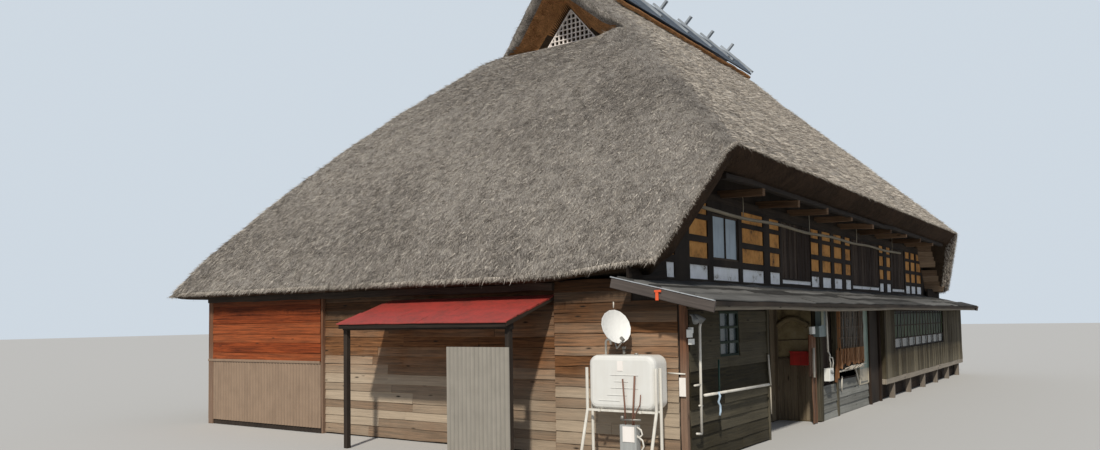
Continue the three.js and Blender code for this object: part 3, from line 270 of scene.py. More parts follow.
def surface(patches):
    """Grids as one mesh whose points are welded where they fall in the same cell of half a millimetre:
    points, triangles, a UV pair for each corner in metres along and down the grid, and the number of the
    grid that each triangle comes from. A closed grid joins its last column to its first."""
    points, triangles, places, zones, count = [], [], [], [], 0
    for zone, (grid, closed) in enumerate(patches):
        rows, columns = grid.shape[:2]
        wide = np.concatenate([grid, grid[:, :1]], axis=1) if closed else grid
        along = np.linalg.norm(np.diff(wide, axis=1), axis=-1).cumsum(axis=1)[rows // 2]
        along = np.concatenate([[0], along])
        down = np.linalg.norm(np.diff(grid, axis=0), axis=-1).mean(axis=1).cumsum()
        down = np.concatenate([[0], down])
        row, column = np.meshgrid(np.arange(rows - 1), np.arange(wide.shape[1] - 1), indexing="ij")
        row, column = row.ravel(), column.ravel()
        beside = (column + 1) % columns
        corners = np.stack([row * columns + column, row * columns + beside,
                            (row + 1) * columns + beside, (row + 1) * columns + column], axis=-1) + count
        sideways = np.stack([along[column], along[column + 1], along[column + 1], along[column]], axis=-1)
        downward = np.stack([down[row], down[row], down[row + 1], down[row + 1]], axis=-1)
        place = np.stack([sideways, downward], axis=-1)
        for pick in ([0, 1, 2], [0, 2, 3]):
            triangles.append(corners[:, pick])
            places.append(place[:, pick])
            zones.append(np.full(len(corners), zone))
        points.append(grid.reshape(-1, 3))
        count += rows * columns
    points, triangles = np.concatenate(points), np.concatenate(triangles)
    _, first, number = np.unique(np.round(points / WELD_SPAN + 0.25), axis=0, return_index=True,
                                 return_inverse=True)
    triangles = number.reshape(-1)[triangles]
    whole = ((triangles[:, 0] != triangles[:, 1]) & (triangles[:, 1] != triangles[:, 2])
             & (triangles[:, 2] != triangles[:, 0]))
    return points[first], triangles[whole], np.concatenate(places)[whole], np.concatenate(zones)[whole]


def mesh_object(name, points, faces, places, materials, slots=None, smooth=False):
    """A finished piece from arrays: its faces, their UV pairs in the map called grain, and the number of
    the material of each. It takes its finish from the record's slot that its first material names."""
    mesh = bpy.data.meshes.new(name)
    mesh.from_pydata(points, [], [list(face) for face in faces])
    layer = mesh.uv_layers.new(name="grain")
    layer.data.foreach_set("uv", places.reshape(-1).astype(np.float32))
    for material in materials:
        mesh.materials.append(material)
    if slots is not None:
        mesh.polygons.foreach_set("material_index", slots.astype(np.int32))
    mesh.polygons.foreach_set("use_smooth", np.full(len(faces), smooth))
    mesh.update()
    thing = bpy.data.objects.new(name, mesh)
    scene.collection.objects.link(thing)
    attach(thing, "root")
    return thing


def mark(thing, label, values):
    """Gives each point of a piece a number that its material reads by this label."""
    thing.data.attributes.new(label, "FLOAT", "POINT").data.foreach_set("value", values)


def add_node(tree, kind, inputs=None, **settings):
    """A new node with its settings. Each input is given a value, or the output socket that feeds it."""
    node = tree.nodes.new("ShaderNode" + kind)
    for key, value in settings.items():
        setattr(node, key, value)
    for key, value in (inputs or {}).items():
        if isinstance(value, bpy.types.NodeSocket):
            tree.links.new(value, node.inputs[key])
        else:
            node.inputs[key].default_value = value
    return node


def add_ramp(tree, factor, stops):
    """A colour ramp over a factor, from pairs of a place and a colour."""
    node = add_node(tree, "ValToRGB", {"Fac": factor})
    while len(node.color_ramp.elements) < len(stops):
        node.color_ramp.elements.new(0.5)
    for element, (place, colour) in zip(node.color_ramp.elements, stops):
        element.position = place
        element.color = (*colour, 1)
    return node.outputs["Color"]


def add_mix(tree, factor, first, second, kind="MIX"):
    """Two colours mixed by a factor."""
    node = add_node(tree, "Mix", data_type="RGBA", blend_type=kind)
    for socket, value in ((node.inputs["Factor"], factor), (node.inputs[6], first), (node.inputs[7], second)):
        if isinstance(value, bpy.types.NodeSocket):
            tree.links.new(value, socket)
        else:
            socket.default_value = value if isinstance(value, (int, float)) else (*value, 1)
    return node.outputs[2]


def add_noise(tree, vector, scale, detail, roughness=0.5, distortion=0.0):
    """Fractal noise on a vector, from about 0.3 to 0.7."""
    return add_node(tree, "TexNoise", {"Vector": vector, "Scale": scale, "Detail": detail,
                                       "Roughness": roughness, "Distortion": distortion}).outputs["Fac"]


def add_range(tree, value, low, high, to_low=0.0, to_high=1.0):
    """A value from low to high brought to another range, and held at its ends."""
    return add_node(tree, "MapRange", {"Value": value, "From Min": low, "From Max": high, "To Min": to_low,
                                       "To Max": to_high}).outputs["Result"]


def add_math(tree, kind, first, second, **settings):
    """Two values added or multiplied."""
    return add_node(tree, "Math", {0: first, 1: second}, operation=kind, **settings).outputs[0]


def read_mark(tree, label):
    """The number that each point of a piece was given by this label."""
    return add_node(tree, "Attribute", attribute_name=label).outputs["Fac"]


def place_of(tree):
    """The place on the object, in metres."""
    return add_node(tree, "TexCoord").outputs["Object"]


def add_bump(tree, height, strength, distance, socket):
    """A bump from a height, led into a socket that takes a normal."""
    bump = add_node(tree, "Bump", {"Strength": strength, "Distance": distance, "Height": height})
    tree.links.new(bump.outputs["Normal"], socket)


def new_group(name, inputs, outputs):
    """An empty node group with its sockets, and the nodes that stand for them inside."""
    group = bpy.data.node_groups.new(name, "ShaderNodeTree")
    for way, sockets in (("INPUT", inputs), ("OUTPUT", outputs)):
        for label, kind in sockets:
            group.interface.new_socket(label, in_out=way, socket_type="NodeSocket" + kind)
    return group, group.nodes.new("NodeGroupInput").outputs, group.nodes.new("NodeGroupOutput").inputs


def new_material(name, slot, roughness=0.8):
    """A material with its node tree and its shader. It keeps the name of the record's slot it belongs to."""
    material = bpy.data.materials.new(name)
    material["slot"] = slot
    material.use_nodes = True
    shader = material.node_tree.nodes["Principled BSDF"]
    shader.inputs["Roughness"].default_value = roughness
    return material, material.node_tree, shader


# SIDE_SHADE is the share of the reed colour that is left where the roof faces west or east, as painted shade.
SIDE_SHADE, REED_GLOSS = 0.86, 0.1


def side_shaded(tree, colour):
    """The colour, darkened where the roof faces west or east: painted shade that makes the hip ends darker
    than the front and back.
    """
    shade = add_range(tree, read_mark(tree, "side"), 0.25, 0.6, 1.0, SIDE_SHADE)
    return add_mix(tree, 1.0, colour, shade, "MULTIPLY")


def straw_group():
    """Short reed ends: fine strokes combed down the slope and crossed strokes at every angle, in patches
    that are a little lighter or darker. It puts out a colour and a normal."""
    group, given, wanted = new_group("straw_look", [("Dark", "Color"), ("Light", "Color"), ("Bump", "Float")],
                                     [("Color", "Color"), ("Normal", "Vector")])
    comb = add_node(group, "UVMap", uv_map="grain").outputs["UV"]
    combed = add_node(group, "Mapping", {"Vector": comb, "Scale": (70, 17, 1)}).outputs["Vector"]
    strokes = add_noise(group, combed, 1.0, 4.0, 0.7, 0.8)
    ends = add_noise(group, place_of(group), 40.0, 5.0, 0.75, 1.6)
    clumps = add_noise(group, place_of(group), 5.0, 3.0)
    patches = add_noise(group, place_of(group), 0.45, 3.0)
    fine = add_range(group, add_math(group, "ADD", strokes, ends), 0.84, 1.16)
    broad = add_range(group, add_math(group, "ADD", clumps, patches), 0.8, 1.2)
    share = add_node(group, "Mix", {"Factor": 0.36, "A": fine, "B": broad}).outputs[0]
    group.links.new(side_shaded(group, add_mix(group, share, given["Dark"], given["Light"])), wanted["Color"])
    add_bump(group, fine, given["Bump"], 0.035, wanted["Normal"])
    return group


straw_look = straw_group()


def straw(name, dark, light, bump):
    """Reed in two colours, with the strength of its bumps."""
    material, tree, shader = new_material(name, "thatch", 0.95)
    look = add_node(tree, "Group", {"Dark": (*dark, 1), "Light": (*light, 1), "Bump": bump},
                    node_tree=straw_look)
    tree.links.new(look.outputs["Color"], shader.inputs["Base Color"])
    tree.links.new(look.outputs["Normal"], shader.inputs["Normal"])
    shader.inputs["Specular IOR Level"].default_value = REED_GLOSS
    return material


REED = straw("reed", (0.06, 0.05, 0.042), (0.76, 0.69, 0.61), 0.9)
# Cut reed keeps the brown of cut reed ends but is made near black: painted shade for the underside of the
# eaves.
CUT_REED = straw("cut_reed", (0.014, 0.009, 0.005), (0.085, 0.05, 0.03), 0.6)
HOOD_REED = straw("hood_reed", (0.20, 0.075, 0.03), (1.0, 0.52, 0.22), 0.9)
# Inner reed is near black: painted shade for the inside of the coat, the soffit under the eaves and the back
# of each hood.
INNER_REED = straw("inner_reed", (0.02, 0.014, 0.01), (0.08, 0.055, 0.035), 0.4)

# The grids by number, of which the sixth is the inside, and the thatch's four materials by number.
SKIRT, SADDLE, WEST_HOOD, EAST_HOOD, CUT = range(5)
ZONE_CLOSED = (True, False, False, False, True, True)
REED_NUMBER, CUT_NUMBER, HOOD_NUMBER, INNER_NUMBER = range(4)
ZONE_MATERIAL = np.array((REED_NUMBER, REED_NUMBER, HOOD_NUMBER, HOOD_NUMBER, CUT_NUMBER, INNER_NUMBER))
SWELLS = ((0.030, 1.7, 1), (0.016, 0.45, 2), (0.007, 0.13, 3))
patches = thatch_patches()
points, triangles, places, zones = surface(list(zip(patches, ZONE_CLOSED)))
bumps = sum(size * noise(points, spacing, seed)[:, None] for size, spacing, seed in SWELLS)
outer_share = np.zeros(len(points))
outer_share[triangles[zones <= SADDLE]] = 1
bare = bpy.data.meshes.new("thatch_normals")
bare.from_pydata(points, [], triangles.tolist())
normals = np.empty(len(points) * 3, np.float32)
bare.vertex_normals.foreach_get("vector", normals)
bpy.data.meshes.remove(bare)
normals = normals.reshape(-1, 3)
points = points + normals * bumps * outer_share[:, None] + (RIDGE_X, RIDGE_Y, 0)
zone_material = ZONE_MATERIAL[zones]
middles = points[triangles].mean(axis=1)
outward = np.cross(*(points[triangles[:, corner]] - points[triangles[:, 0]] for corner in (1, 2)))
levelness = outward[:, 2] / np.maximum(np.linalg.norm(outward, axis=1), 1e-9)
rake_edge = LIP_X - RAKE_DEPTH + RAKE_FLARE * (middles[:, 2] - LIP_Z)
hood_depth = np.abs(middles[:, 0] - RIDGE_X)
in_hood = (zones == WEST_HOOD) | (zones == EAST_HOOD)
# The strip of each hood next to its lattice, and the point behind it, take inner reed as painted shade deep
# in the recess.
zone_material[in_hood & (hood_depth < LATTICE_X + GAP_DEPTH)] = INNER_NUMBER
zone_material[in_hood & ((hood_depth > rake_edge) | (levelness > FLOOR_TILT))] = REED_NUMBER
thatch = mesh_object("thatch", points, triangles, places, (REED, CUT_REED, HOOD_REED, INNER_REED),
                     zone_material, smooth=True)
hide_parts("thatch_front", "thatch_back", "thatch_west", "thatch_east")
# Side is how far each point faces west or east, which the reed materials turn into painted shade on the hip
# ends.
mark(thatch, "side", np.abs(normals[:, 0]) * outer_share)

# The nap of the thatch: loose straws that stand a little off the four slopes, the fringe that hangs along
# the eaves, and the straw on the cut face of the east hip end.
NAP_COUNT, NAP_TOP, NAP_SINK, NAP_LIFT, NAP_SPREAD = 34000, 9.55, 0.004, (6, 22), 0.22
NAP_LENGTH, NAP_RADIUS = (0.06, 0.17), (0.003, 0.007)
# FRINGE_SIDE gives the eave fringe the full painted shade of the hip ends.
FRINGE_COUNT, FRINGE_SINK, FRINGE_SPREAD, FRINGE_SIDE = 26000, 0.05, 0.16, 0.8
END_COUNT, END_SINK, END_LIFT, END_SPREAD, END_FROM = 3000, 0.01, 0.5, 0.35, (9.6, -4)
FRINGE_LENGTH, END_LENGTH, FINE_RADIUS = (0.06, 0.13), (0.05, 0.14), (0.003, 0.006)


def scattered(faces, count, rng):
    """Points spread evenly over triangles, by area: their places, and the normal of each one's triangle."""
    first, second, third = (points[triangles[faces, corner]] for corner in range(3))
    normal = np.cross(second - first, third - first)
    area = np.linalg.norm(normal, axis=1)
    pick = np.searchsorted(np.cumsum(area) / area.sum(), rng.random(count))
    u, v = rng.random((2, count, 1))
    u, v = np.where(u + v > 1, 1 - u, u), np.where(u + v > 1, 1 - v, v)
    place = first[pick] + (second - first)[pick] * u + (third - first)[pick] * v
    return place, normal[pick] / area[pick, None]


def down_slope(normal):
    """The steepest way down along a surface: straight down, less its share along the normal."""
    down = np.array((0, 0, -1.0)) + normal * normal[:, 2:]
    return down / np.maximum(np.linalg.norm(down, axis=1, keepdims=True), 0.05)


def reeds(name, base, heading, length, radius, side, seed):
    """One four-faced spike per base point: three corners at radius around it and a tip at length along its
    heading."""
    rng, count = np.random.default_rng(seed), len(base)
    heading = heading / np.linalg.norm(heading, axis=1, keepdims=True)
    across = np.cross(heading, rng.normal(0, 1, (count, 3)))
    across /= np.linalg.norm(across, axis=1, keepdims=True)
    beside = np.cross(heading, across)
    turn = np.arange(3)[None, :, None] * 2 * math.pi / 3
    thick = np.broadcast_to(radius, count)[:, None, None]
    around = (across[:, None] * np.cos(turn) + beside[:, None] * np.sin(turn)) * thick
    tip = base + heading * np.broadcast_to(length, count)[:, None]
    corners = np.concatenate([base[:, None] + around, tip[:, None]], axis=1).reshape(-1, 3)
    quartet = np.array([[0, 1, 3], [1, 2, 3], [2, 0, 3], [2, 1, 0]])
    faces = (np.arange(count)[:, None, None] * 4 + quartet).reshape(-1, 3)
    piece = mesh_object(name, corners, faces.tolist(), np.zeros((len(faces) * 3, 2)), (LOOSE_REED,))
    mark(piece, "tone", np.repeat(rng.random(count), 4))
    # Side sets how much painted shade each straw takes, as on the hip ends.
    mark(piece, "side", np.repeat(side, 4))


LOOSE_REED, tree, shader = new_material("loose_reed", "thatch", 0.9)
colour = add_ramp(tree, read_mark(tree, "tone"), [(0.0, (0.06, 0.05, 0.04)), (0.4, (0.32, 0.285, 0.245)),
                                                  (1.0, (0.74, 0.67, 0.58))])
tree.links.new(side_shaded(tree, colour), shader.inputs["Base Color"])
shader.inputs["Specular IOR Level"].default_value = REED_GLOSS

slopes = (zones <= SADDLE) & (middles[:, 2] < NAP_TOP)
facing = np.argmax(np.stack([-outward[:, 0], -outward[:, 1], outward[:, 0], outward[:, 1]]), axis=0)
for number, label in enumerate(("west", "front", "east", "back")):
    rng = np.random.default_rng(200 + number)
    place, normal = scattered(np.flatnonzero(slopes & (facing == number)), NAP_COUNT, rng)
    lift = np.radians(rng.uniform(*NAP_LIFT, (NAP_COUNT, 1)))
    sway = rng.normal(0, NAP_SPREAD, (NAP_COUNT, 3))
    heading = down_slope(normal) * np.cos(lift) + normal * np.sin(lift) + sway
    reeds("thatch_nap_" + label, place - normal * NAP_SINK, heading, rng.uniform(*NAP_LENGTH, NAP_COUNT),
          rng.uniform(*NAP_RADIUS, NAP_COUNT), np.abs(normal[:, 0]), 210 + number)

edge, above_edge = patches[SKIRT][:2] + (RIDGE_X, RIDGE_Y, 0)
next_edge = np.roll(edge, -1, axis=0)
span = np.linalg.norm(next_edge - edge, axis=1)
rng = np.random.default_rng(220)
column = rng.choice(len(edge), FRINGE_COUNT, p=span / span.sum())
share = rng.random((FRINGE_COUNT, 1))
heading = edge[column] - above_edge[column]
heading /= np.linalg.norm(heading, axis=1, keepdims=True)
base = edge[column] * (1 - share) + next_edge[column] * share - heading * FRINGE_SINK
reeds("eave_fringe", base, heading + rng.normal(0, FRINGE_SPREAD, (FRINGE_COUNT, 3)),
      rng.uniform(*FRINGE_LENGTH, FRINGE_COUNT), rng.uniform(*FINE_RADIUS, FRINGE_COUNT),
      np.full(FRINGE_COUNT, FRINGE_SIDE), 221)

hip_end = (zones == CUT) & (middles[:, 2] < FRONT_EAVE_Z)
hip_end &= (middles[:, 0] > END_FROM[0]) & (middles[:, 1] < END_FROM[1])
place, normal = scattered(np.flatnonzero(hip_end), END_COUNT, rng)
heading = down_slope(normal) + normal * END_LIFT + rng.normal(0, END_SPREAD, (END_COUNT, 3))
reeds("hip_end_straw", place - normal * END_SINK, heading, rng.uniform(*END_LENGTH, END_COUNT),
      rng.uniform(*FINE_RADIUS, END_COUNT), np.zeros(END_COUNT), 222)

# Timber: every board, post, slat and pole is cut from the same pattern, a long chamfered stick that
# wavers a little, with its own grain and its own tone. Tubes are for pipes and round sticks.
EAST, WEST, NORTH, SOUTH, UP = (1, 0, 0), (-1, 0, 0), (0, 1, 0), (0, -1, 0), (0, 0, 1)
CHAMFER, BOARD_GAP = 0.008, 0.004
BOARD_WIDTHS, JOINT_SHIFT = (0.82, 1.18), 0.35
WHOLE_BOARD, LAPPED_THICK, LAP_LEAN, FLUSH_THICK = 3.0, 0.020, 0.09, 0.018


def timbers(name, start, end, out, width, thick, material, seed, wave=0.004, steps=4):
    """One stick per row of start and end, width wide and thick towards out. The map called grain runs in
    metres along and around it, and the attribute called tone gives each a number from 0 to 1."""
    start, end = np.atleast_2d(start).astype(float), np.atleast_2d(end).astype(float)
    count, rng = len(start), np.random.default_rng(seed)
    out = np.broadcast_to(np.asarray(out, float), (count, 3))
    width = np.broadcast_to(width, count)[:, None, None] / 2
    thick = np.broadcast_to(thick, count)[:, None, None] / 2
    length = np.linalg.norm(end - start, axis=1)
    along = (end - start) / length[:, None]
    side = np.cross(along, out)
    side /= np.linalg.norm(side, axis=1)[:, None]
    face = np.cross(side, along)
    chamfer = np.minimum(CHAMFER, 0.4 * np.minimum(width, thick))
    across = np.array([1, 1, 1, 1, -1, -1, -1, -1]) * (width - chamfer * np.array([1, 0, 0, 1, 1, 0, 0, 1]))
    proud = np.array([1, 1, -1, -1, -1, -1, 1, 1]) * (thick - chamfer * np.array([0, 1, 1, 0, 0, 1, 1, 0]))
    share = np.linspace(0, 1, steps + 1)
    bend = rng.normal(0, wave, (2, count, steps + 1, 1, 1))
    points = (start[:, None] + (end - start)[:, None] * share[:, None])[:, :, None]
    points = points + side[:, None, None] * (across[..., None] + bend[0]) \
        + face[:, None, None] * (proud[..., None] + bend[1])
    profile = np.stack([across, proud], axis=-1)[:, 0]
    around = np.linalg.norm(np.roll(profile, -1, axis=1) - profile, axis=-1).cumsum(axis=1)
    around = np.concatenate([np.zeros((count, 1)), around], axis=1)
    stick, step, corner = np.meshgrid(np.arange(count), np.arange(steps), np.arange(8), indexing="ij")
    first = (stick * (steps + 1) + step) * 8
    beside = (corner + 1) % 8
    faces = np.stack([first + corner, first + beside, first + 8 + beside, first + 8 + corner], axis=-1)
    near, far = share[step] * length[stick], share[step + 1] * length[stick]
    low, high = around[stick, corner], around[stick, corner + 1]
    places = np.stack([np.stack([near, near, far, far], axis=-1),
                       np.stack([low, high, high, low], axis=-1)], axis=-1)
    foot = np.arange(count)[:, None] * (steps + 1) * 8
    caps = np.concatenate([foot + np.arange(8)[::-1], foot + steps * 8 + np.arange(8)])
    cap_places = np.concatenate([profile[:, ::-1], profile]) * (0.1, 1)
    thing = mesh_object(name, points.reshape(-1, 3), faces.reshape(-1, 4).tolist() + caps.tolist(),
                        np.concatenate([places.reshape(-1, 2), cap_places.reshape(-1, 2)]), (material,))
    mark(thing, "tone", np.repeat(rng.random(count), (steps + 1) * 8))
    return thing


def upright(name, places, foot, head, *size_and_finish, **settings):
    """Timbers that stand upright at the given places, each an x and a y, from foot to head."""
    places = np.atleast_2d(places)
    start, end = (np.column_stack([places, np.broadcast_to(z, len(places))]) for z in (foot, head))
    return timbers(name, start, end, *size_and_finish, **settings)


def courses(corner, along, across, length, height, pitch, board, seed, lap):
    """Boards that fill a rectangle: their start and end points and widths. Courses are pitch wide, give or
    take, and are joined from boards of about the given length."""
    rng = np.random.default_rng(seed)
    corner, along, across = (np.asarray(vector, float) for vector in (corner, along, across))
    count, pieces = max(1, round(height / pitch)), max(1, math.ceil(length / board))
    edge = np.concatenate([[0], rng.uniform(*BOARD_WIDTHS, count).cumsum()])
    edge *= height / edge[-1]
    joint = np.linspace(0, length, pieces + 1) + np.zeros((count, 1))
    joint[:, 1:-1] += rng.uniform(-JOINT_SHIFT, JOINT_SHIFT, (count, pieces - 1)) * length / pieces
    middle = ((edge[:-1] + edge[1:]) / 2)[:, None, None]
    start = corner + along * joint[:, :-1, None] + across * middle
    end = corner + along * (joint[:, 1:, None] - BOARD_GAP) + across * middle
    return start.reshape(-1, 3), end.reshape(-1, 3), np.repeat(np.diff(edge) + lap, pieces)


def boarding(name, fields, out, thick, material, seed, wave=0.003, steps=4, lap=0.015):
    """Boards over several rectangles, each given as the arguments of courses before its seed."""
    parts = [courses(*field, seed + number, lap) for number, field in enumerate(fields)]
    start, end, width = (np.concatenate(kind) for kind in zip(*parts))
    return timbers(name, start, end, out, width, thick, material, seed, wave, steps)


def srgb(red, green, blue):
    """A screen colour, from 0 to 255, as the linear values that a shader takes."""
    return tuple((value / 255 / 12.92) if value < 11 else ((value / 255 + 0.055) / 1.055) ** 2.4
                 for value in (red, green, blue))


def grain_group():
    """Weathered wood on a vector whose first axis runs along the grain: streaks, fine lines, knots and
    bleached patches, all shifted and toned for each stick. It puts out a colour and a normal."""
    group, given, wanted = new_group(
        "grain_look", [("Place", "Vector"), ("Tone", "Float"), ("Dark", "Color"), ("Fresh", "Color"),
                       ("Weathered", "Color"), ("Weather", "Float"), ("Bump", "Float")],
        [("Color", "Color"), ("Normal", "Vector")])
    shift = add_node(group, "CombineXYZ")
    for axis, reach in (("X", 53.0), ("Y", 29.0)):
        group.links.new(add_math(group, "MULTIPLY", given["Tone"], reach), shift.inputs[axis])
    place = add_node(group, "VectorMath", {0: given["Place"], 1: shift.outputs[0]},
                     operation="ADD").outputs[0]

    def stretched(*scale):
        return add_node(group, "Mapping", {"Vector": place, "Scale": scale}).outputs["Vector"]

    streaks = add_noise(group, stretched(1.1, 30, 1), 1.0, 5.0, 0.62, 0.5)
    lines = add_noise(group, stretched(5, 170, 1), 1.0, 3.0, 0.6)
    knots = add_node(group, "TexVoronoi", {"Vector": stretched(1.7, 7, 1), "Scale": 1.0}).outputs["Distance"]
    grain = add_node(group, "Mix", {"Factor": 0.35, "A": streaks, "B": lines}).outputs[0]
    grain = add_range(group, grain, 0.34, 0.66)
    fresh = add_mix(group, grain, given["Dark"], given["Fresh"])
    cloud = add_math(group, "ADD", add_noise(group, place_of(group), 1.3, 4.0), given["Tone"])
    worn = add_math(group, "ADD", given["Weather"], add_range(group, cloud, 0.4, 1.6, -0.38, 0.38),
                    use_clamp=True)
    pale = add_mix(group, grain, (0.75, 0.75, 0.75), (1.1, 1.1, 1.1))
    pale = add_mix(group, 1.0, given["Weathered"], pale, "MULTIPLY")
    tone = add_range(group, given["Tone"], 0.0, 1.0, 0.78, 1.14)
    colour = add_mix(group, 1.0, add_mix(group, worn, fresh, pale), tone, "MULTIPLY")
    colour = add_mix(group, add_range(group, knots, 0.05, 0.13), (0.02, 0.015, 0.01), colour)
    group.links.new(colour, wanted["Color"])
    add_bump(group, grain, given["Bump"], 0.008, wanted["Normal"])
    return group


grain_look = grain_group()


def height_of(tree):
    """The height above the ground, in metres."""
    return add_node(tree, "SeparateXYZ", {0: place_of(tree)}).outputs["Z"]


def wood(name, slot, dark, fresh, weathered, weather, bump=0.5, fade=None, along=None, painted_shadow=None):
    """Wood in three screen colours, with the share that is weathered. Fade gives two heights and the shares
    there, and painted_shadow two heights and how much of the colour is left there: a painted shadow that
    darkens the wood by height, as under an eave. Along names the axis of the grain where a surface has no map
    of its own."""
    material, tree, shader = new_material(name, slot, 0.85)
    look = add_node(tree, "Group", {"Weather": weather, "Bump": bump}, node_tree=grain_look)
    for socket, colour in (("Dark", dark), ("Fresh", fresh), ("Weathered", weathered)):
        look.inputs[socket].default_value = (*srgb(*colour), 1)
    if along is None:
        place = add_node(tree, "UVMap", uv_map="grain").outputs["UV"]
        tree.links.new(read_mark(tree, "tone"), look.inputs["Tone"])
    else:
        turned = {"X": (0, 0, 0), "Y": (0, 0, -math.pi / 2), "Z": (0, math.pi / 2, 0)}[along]
        place = add_node(tree, "Mapping", {"Vector": place_of(tree), "Rotation": turned}).outputs["Vector"]
        look.inputs["Tone"].default_value = 0.5
    tree.links.new(place, look.inputs["Place"])

    def by_height(span):
        (low, low_share), (high, high_share) = span
        return add_range(tree, height_of(tree), low, high, low_share, high_share)

    if fade:
        tree.links.new(by_height(fade), look.inputs["Weather"])
    colour = look.outputs["Color"]
    # A painted shadow: the colour is darkened by height, as under an eave.
    if painted_shadow:
        colour = add_mix(tree, 1.0, colour, by_height(painted_shadow), "MULTIPLY")
    tree.links.new(colour, shader.inputs["Base Color"])
    tree.links.new(look.outputs["Normal"], shader.inputs["Normal"])
    shader.inputs["Specular IOR Level"].default_value = 0.2
    return material


def stain_group():
    """Grime on a smooth surface: clouds and runs down it. It puts out a colour."""
    group, given, wanted = new_group("stain_look", [("Clean", "Color"), ("Grime", "Color"),
                                                    ("Amount", "Float")], [("Color", "Color")])
    drawn = add_node(group, "Mapping", {"Vector": place_of(group), "Scale": (22, 22, 1.6)}).outputs["Vector"]
    clouds, runs = add_noise(group, place_of(group), 4.0, 6.0), add_noise(group, drawn, 1.0, 4.0)
    grime = add_node(group, "Mix", {"Factor": 0.5, "A": clouds, "B": runs}).outputs[0]
    mask = add_math(group, "MULTIPLY", add_range(group, grime, 0.42, 0.72), given["Amount"])
    group.links.new(add_mix(group, mask, given["Clean"], given["Grime"]), wanted["Color"])
    return group


stain_look = stain_group()


def coated(name, slot, clean, grime, amount, roughness=0.5, metallic=0.0):
    """Paint, enamel, bare metal, glass or plastic in a screen colour, with some grime of another on it."""
    material, tree, shader = new_material(name, slot, roughness)
    look = add_node(tree, "Group", {"Clean": (*srgb(*clean), 1), "Grime": (*srgb(*grime), 1),
                                    "Amount": amount}, node_tree=stain_look)
    tree.links.new(look.outputs["Color"], shader.inputs["Base Color"])
    shader.inputs["Metallic"].default_value = metallic
    return material


def dress(material, *nodes):
    """Gives CAD pieces whose shape is right a better material."""
    for node in nodes:
        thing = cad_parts[node]
        thing.data.materials.clear()
        thing.data.materials.append(material)


def tubes(name, routes, radius, material, seed, sides=10):
    """Round rods and pipes along routes of points, closed at both ends, in one piece. There is one radius
    for all, or one per route, or a route's own list of them, one per point."""
    angle = np.arange(sides) * 2 * math.pi / sides
    rng, points, faces, places, tones, count = np.random.default_rng(seed), [], [], [], [], 0
    for route, thick in zip(routes, radius if np.ndim(radius) else [radius] * len(routes)):
        route = np.asarray(route, float)
        thick = np.broadcast_to(thick, len(route))
        ahead = np.diff(route, axis=0)
        heading = np.concatenate([ahead[:1], ahead[1:] + ahead[:-1], ahead[-1:]])
        heading /= np.linalg.norm(heading, axis=1)[:, None]
        aside = np.cross(heading, (0.31, 0.17, 0.93) if abs(heading[:, 2]).max() < 0.9 else (0.9, 0.4, 0.1))
        aside /= np.linalg.norm(aside, axis=1)[:, None]
        above = np.cross(aside, heading)
        hoop = aside[:, None] * np.sin(angle)[:, None] + above[:, None] * np.cos(angle)[:, None]
        points.append((route[:, None] + hoop * thick[:, None, None]).reshape(-1, 3))
        step, corner = np.meshgrid(np.arange(len(route) - 1), np.arange(sides), indexing="ij")
        beside = (corner + 1) % sides
        quad = np.stack([corner, beside, beside + sides, corner + sides], axis=-1) + (step * sides)[..., None]
        faces += (quad.reshape(-1, 4) + count).tolist()
        run = np.concatenate([[0], np.linalg.norm(ahead, axis=1).cumsum()])
        around = thick.mean() * 2 * math.pi / sides
        places.append(np.stack([np.stack([run[step], run[step], run[step + 1], run[step + 1]], axis=-1),
                                np.stack([corner, corner + 1, corner + 1, corner], axis=-1) * around],
                               axis=-1).reshape(-1, 2))
        last = count + (len(route) - 1) * sides
        faces += [list(range(count + sides - 1, count - 1, -1)), list(range(last, last + sides))]
        places.append(np.zeros((2 * sides, 2)))
        tones.append(np.full(len(points[-1]), rng.random()))
        count += len(points[-1])
    thing = mesh_object(name, np.concatenate(points), faces, np.concatenate(places), (material,), smooth=True)
    mark(thing, "tone", np.concatenate(tones))
    return thing


# The upper front: a smoke-dark post and rail grid around ochre panels with a limewashed lowest row,
# board shutters, one pale window, and under the eave rough arms, rafters and a long hanging pole.
SOOT, TAN_DUST = (28, 25, 23), (92, 78, 64)
LIME_TOP, CRUMBLED = (3.0, 3.06), (0.32, 0.36)
dark_timber = wood("dark_timber", "dark_timber", SOOT, (52, 45, 40), TAN_DUST, 0.12, along="X")
dark_sticks = wood("dark_sticks", "dark_timber", SOOT, (60, 50, 42), TAN_DUST, 0.15)
dress(dark_timber, "upper_frame", "upper_frieze", "upper_floor", "inner_frame", "front_frame",
      "red_leanto_frame", "ground_floor")

plaster, tree, shader = new_material("earth_plaster", "plaster", 0.95)
uneven = add_noise(tree, place_of(tree), 3.0, 6.0, 0.7)
earth = add_ramp(tree, uneven, [(0.3, srgb(120, 84, 48)), (0.5, srgb(196, 138, 72)),
                                (0.7, srgb(214, 160, 92))])
lime = add_ramp(tree, uneven, [(0.3, srgb(160, 152, 140)), (0.44, srgb(236, 238, 238)),
                               (0.7, srgb(250, 252, 255))])
colour = add_mix(tree, add_range(tree, height_of(tree), *LIME_TOP), lime, earth)
colour = add_mix(tree, add_range(tree, uneven, *CRUMBLED), srgb(*SOOT), colour)
tree.links.new(colour, shader.inputs["Base Color"])
add_bump(tree, add_noise(tree, place_of(tree), 45.0, 4.0), 0.4, 0.01, shader.inputs["Normal"])
dress(plaster, "upper_plaster")

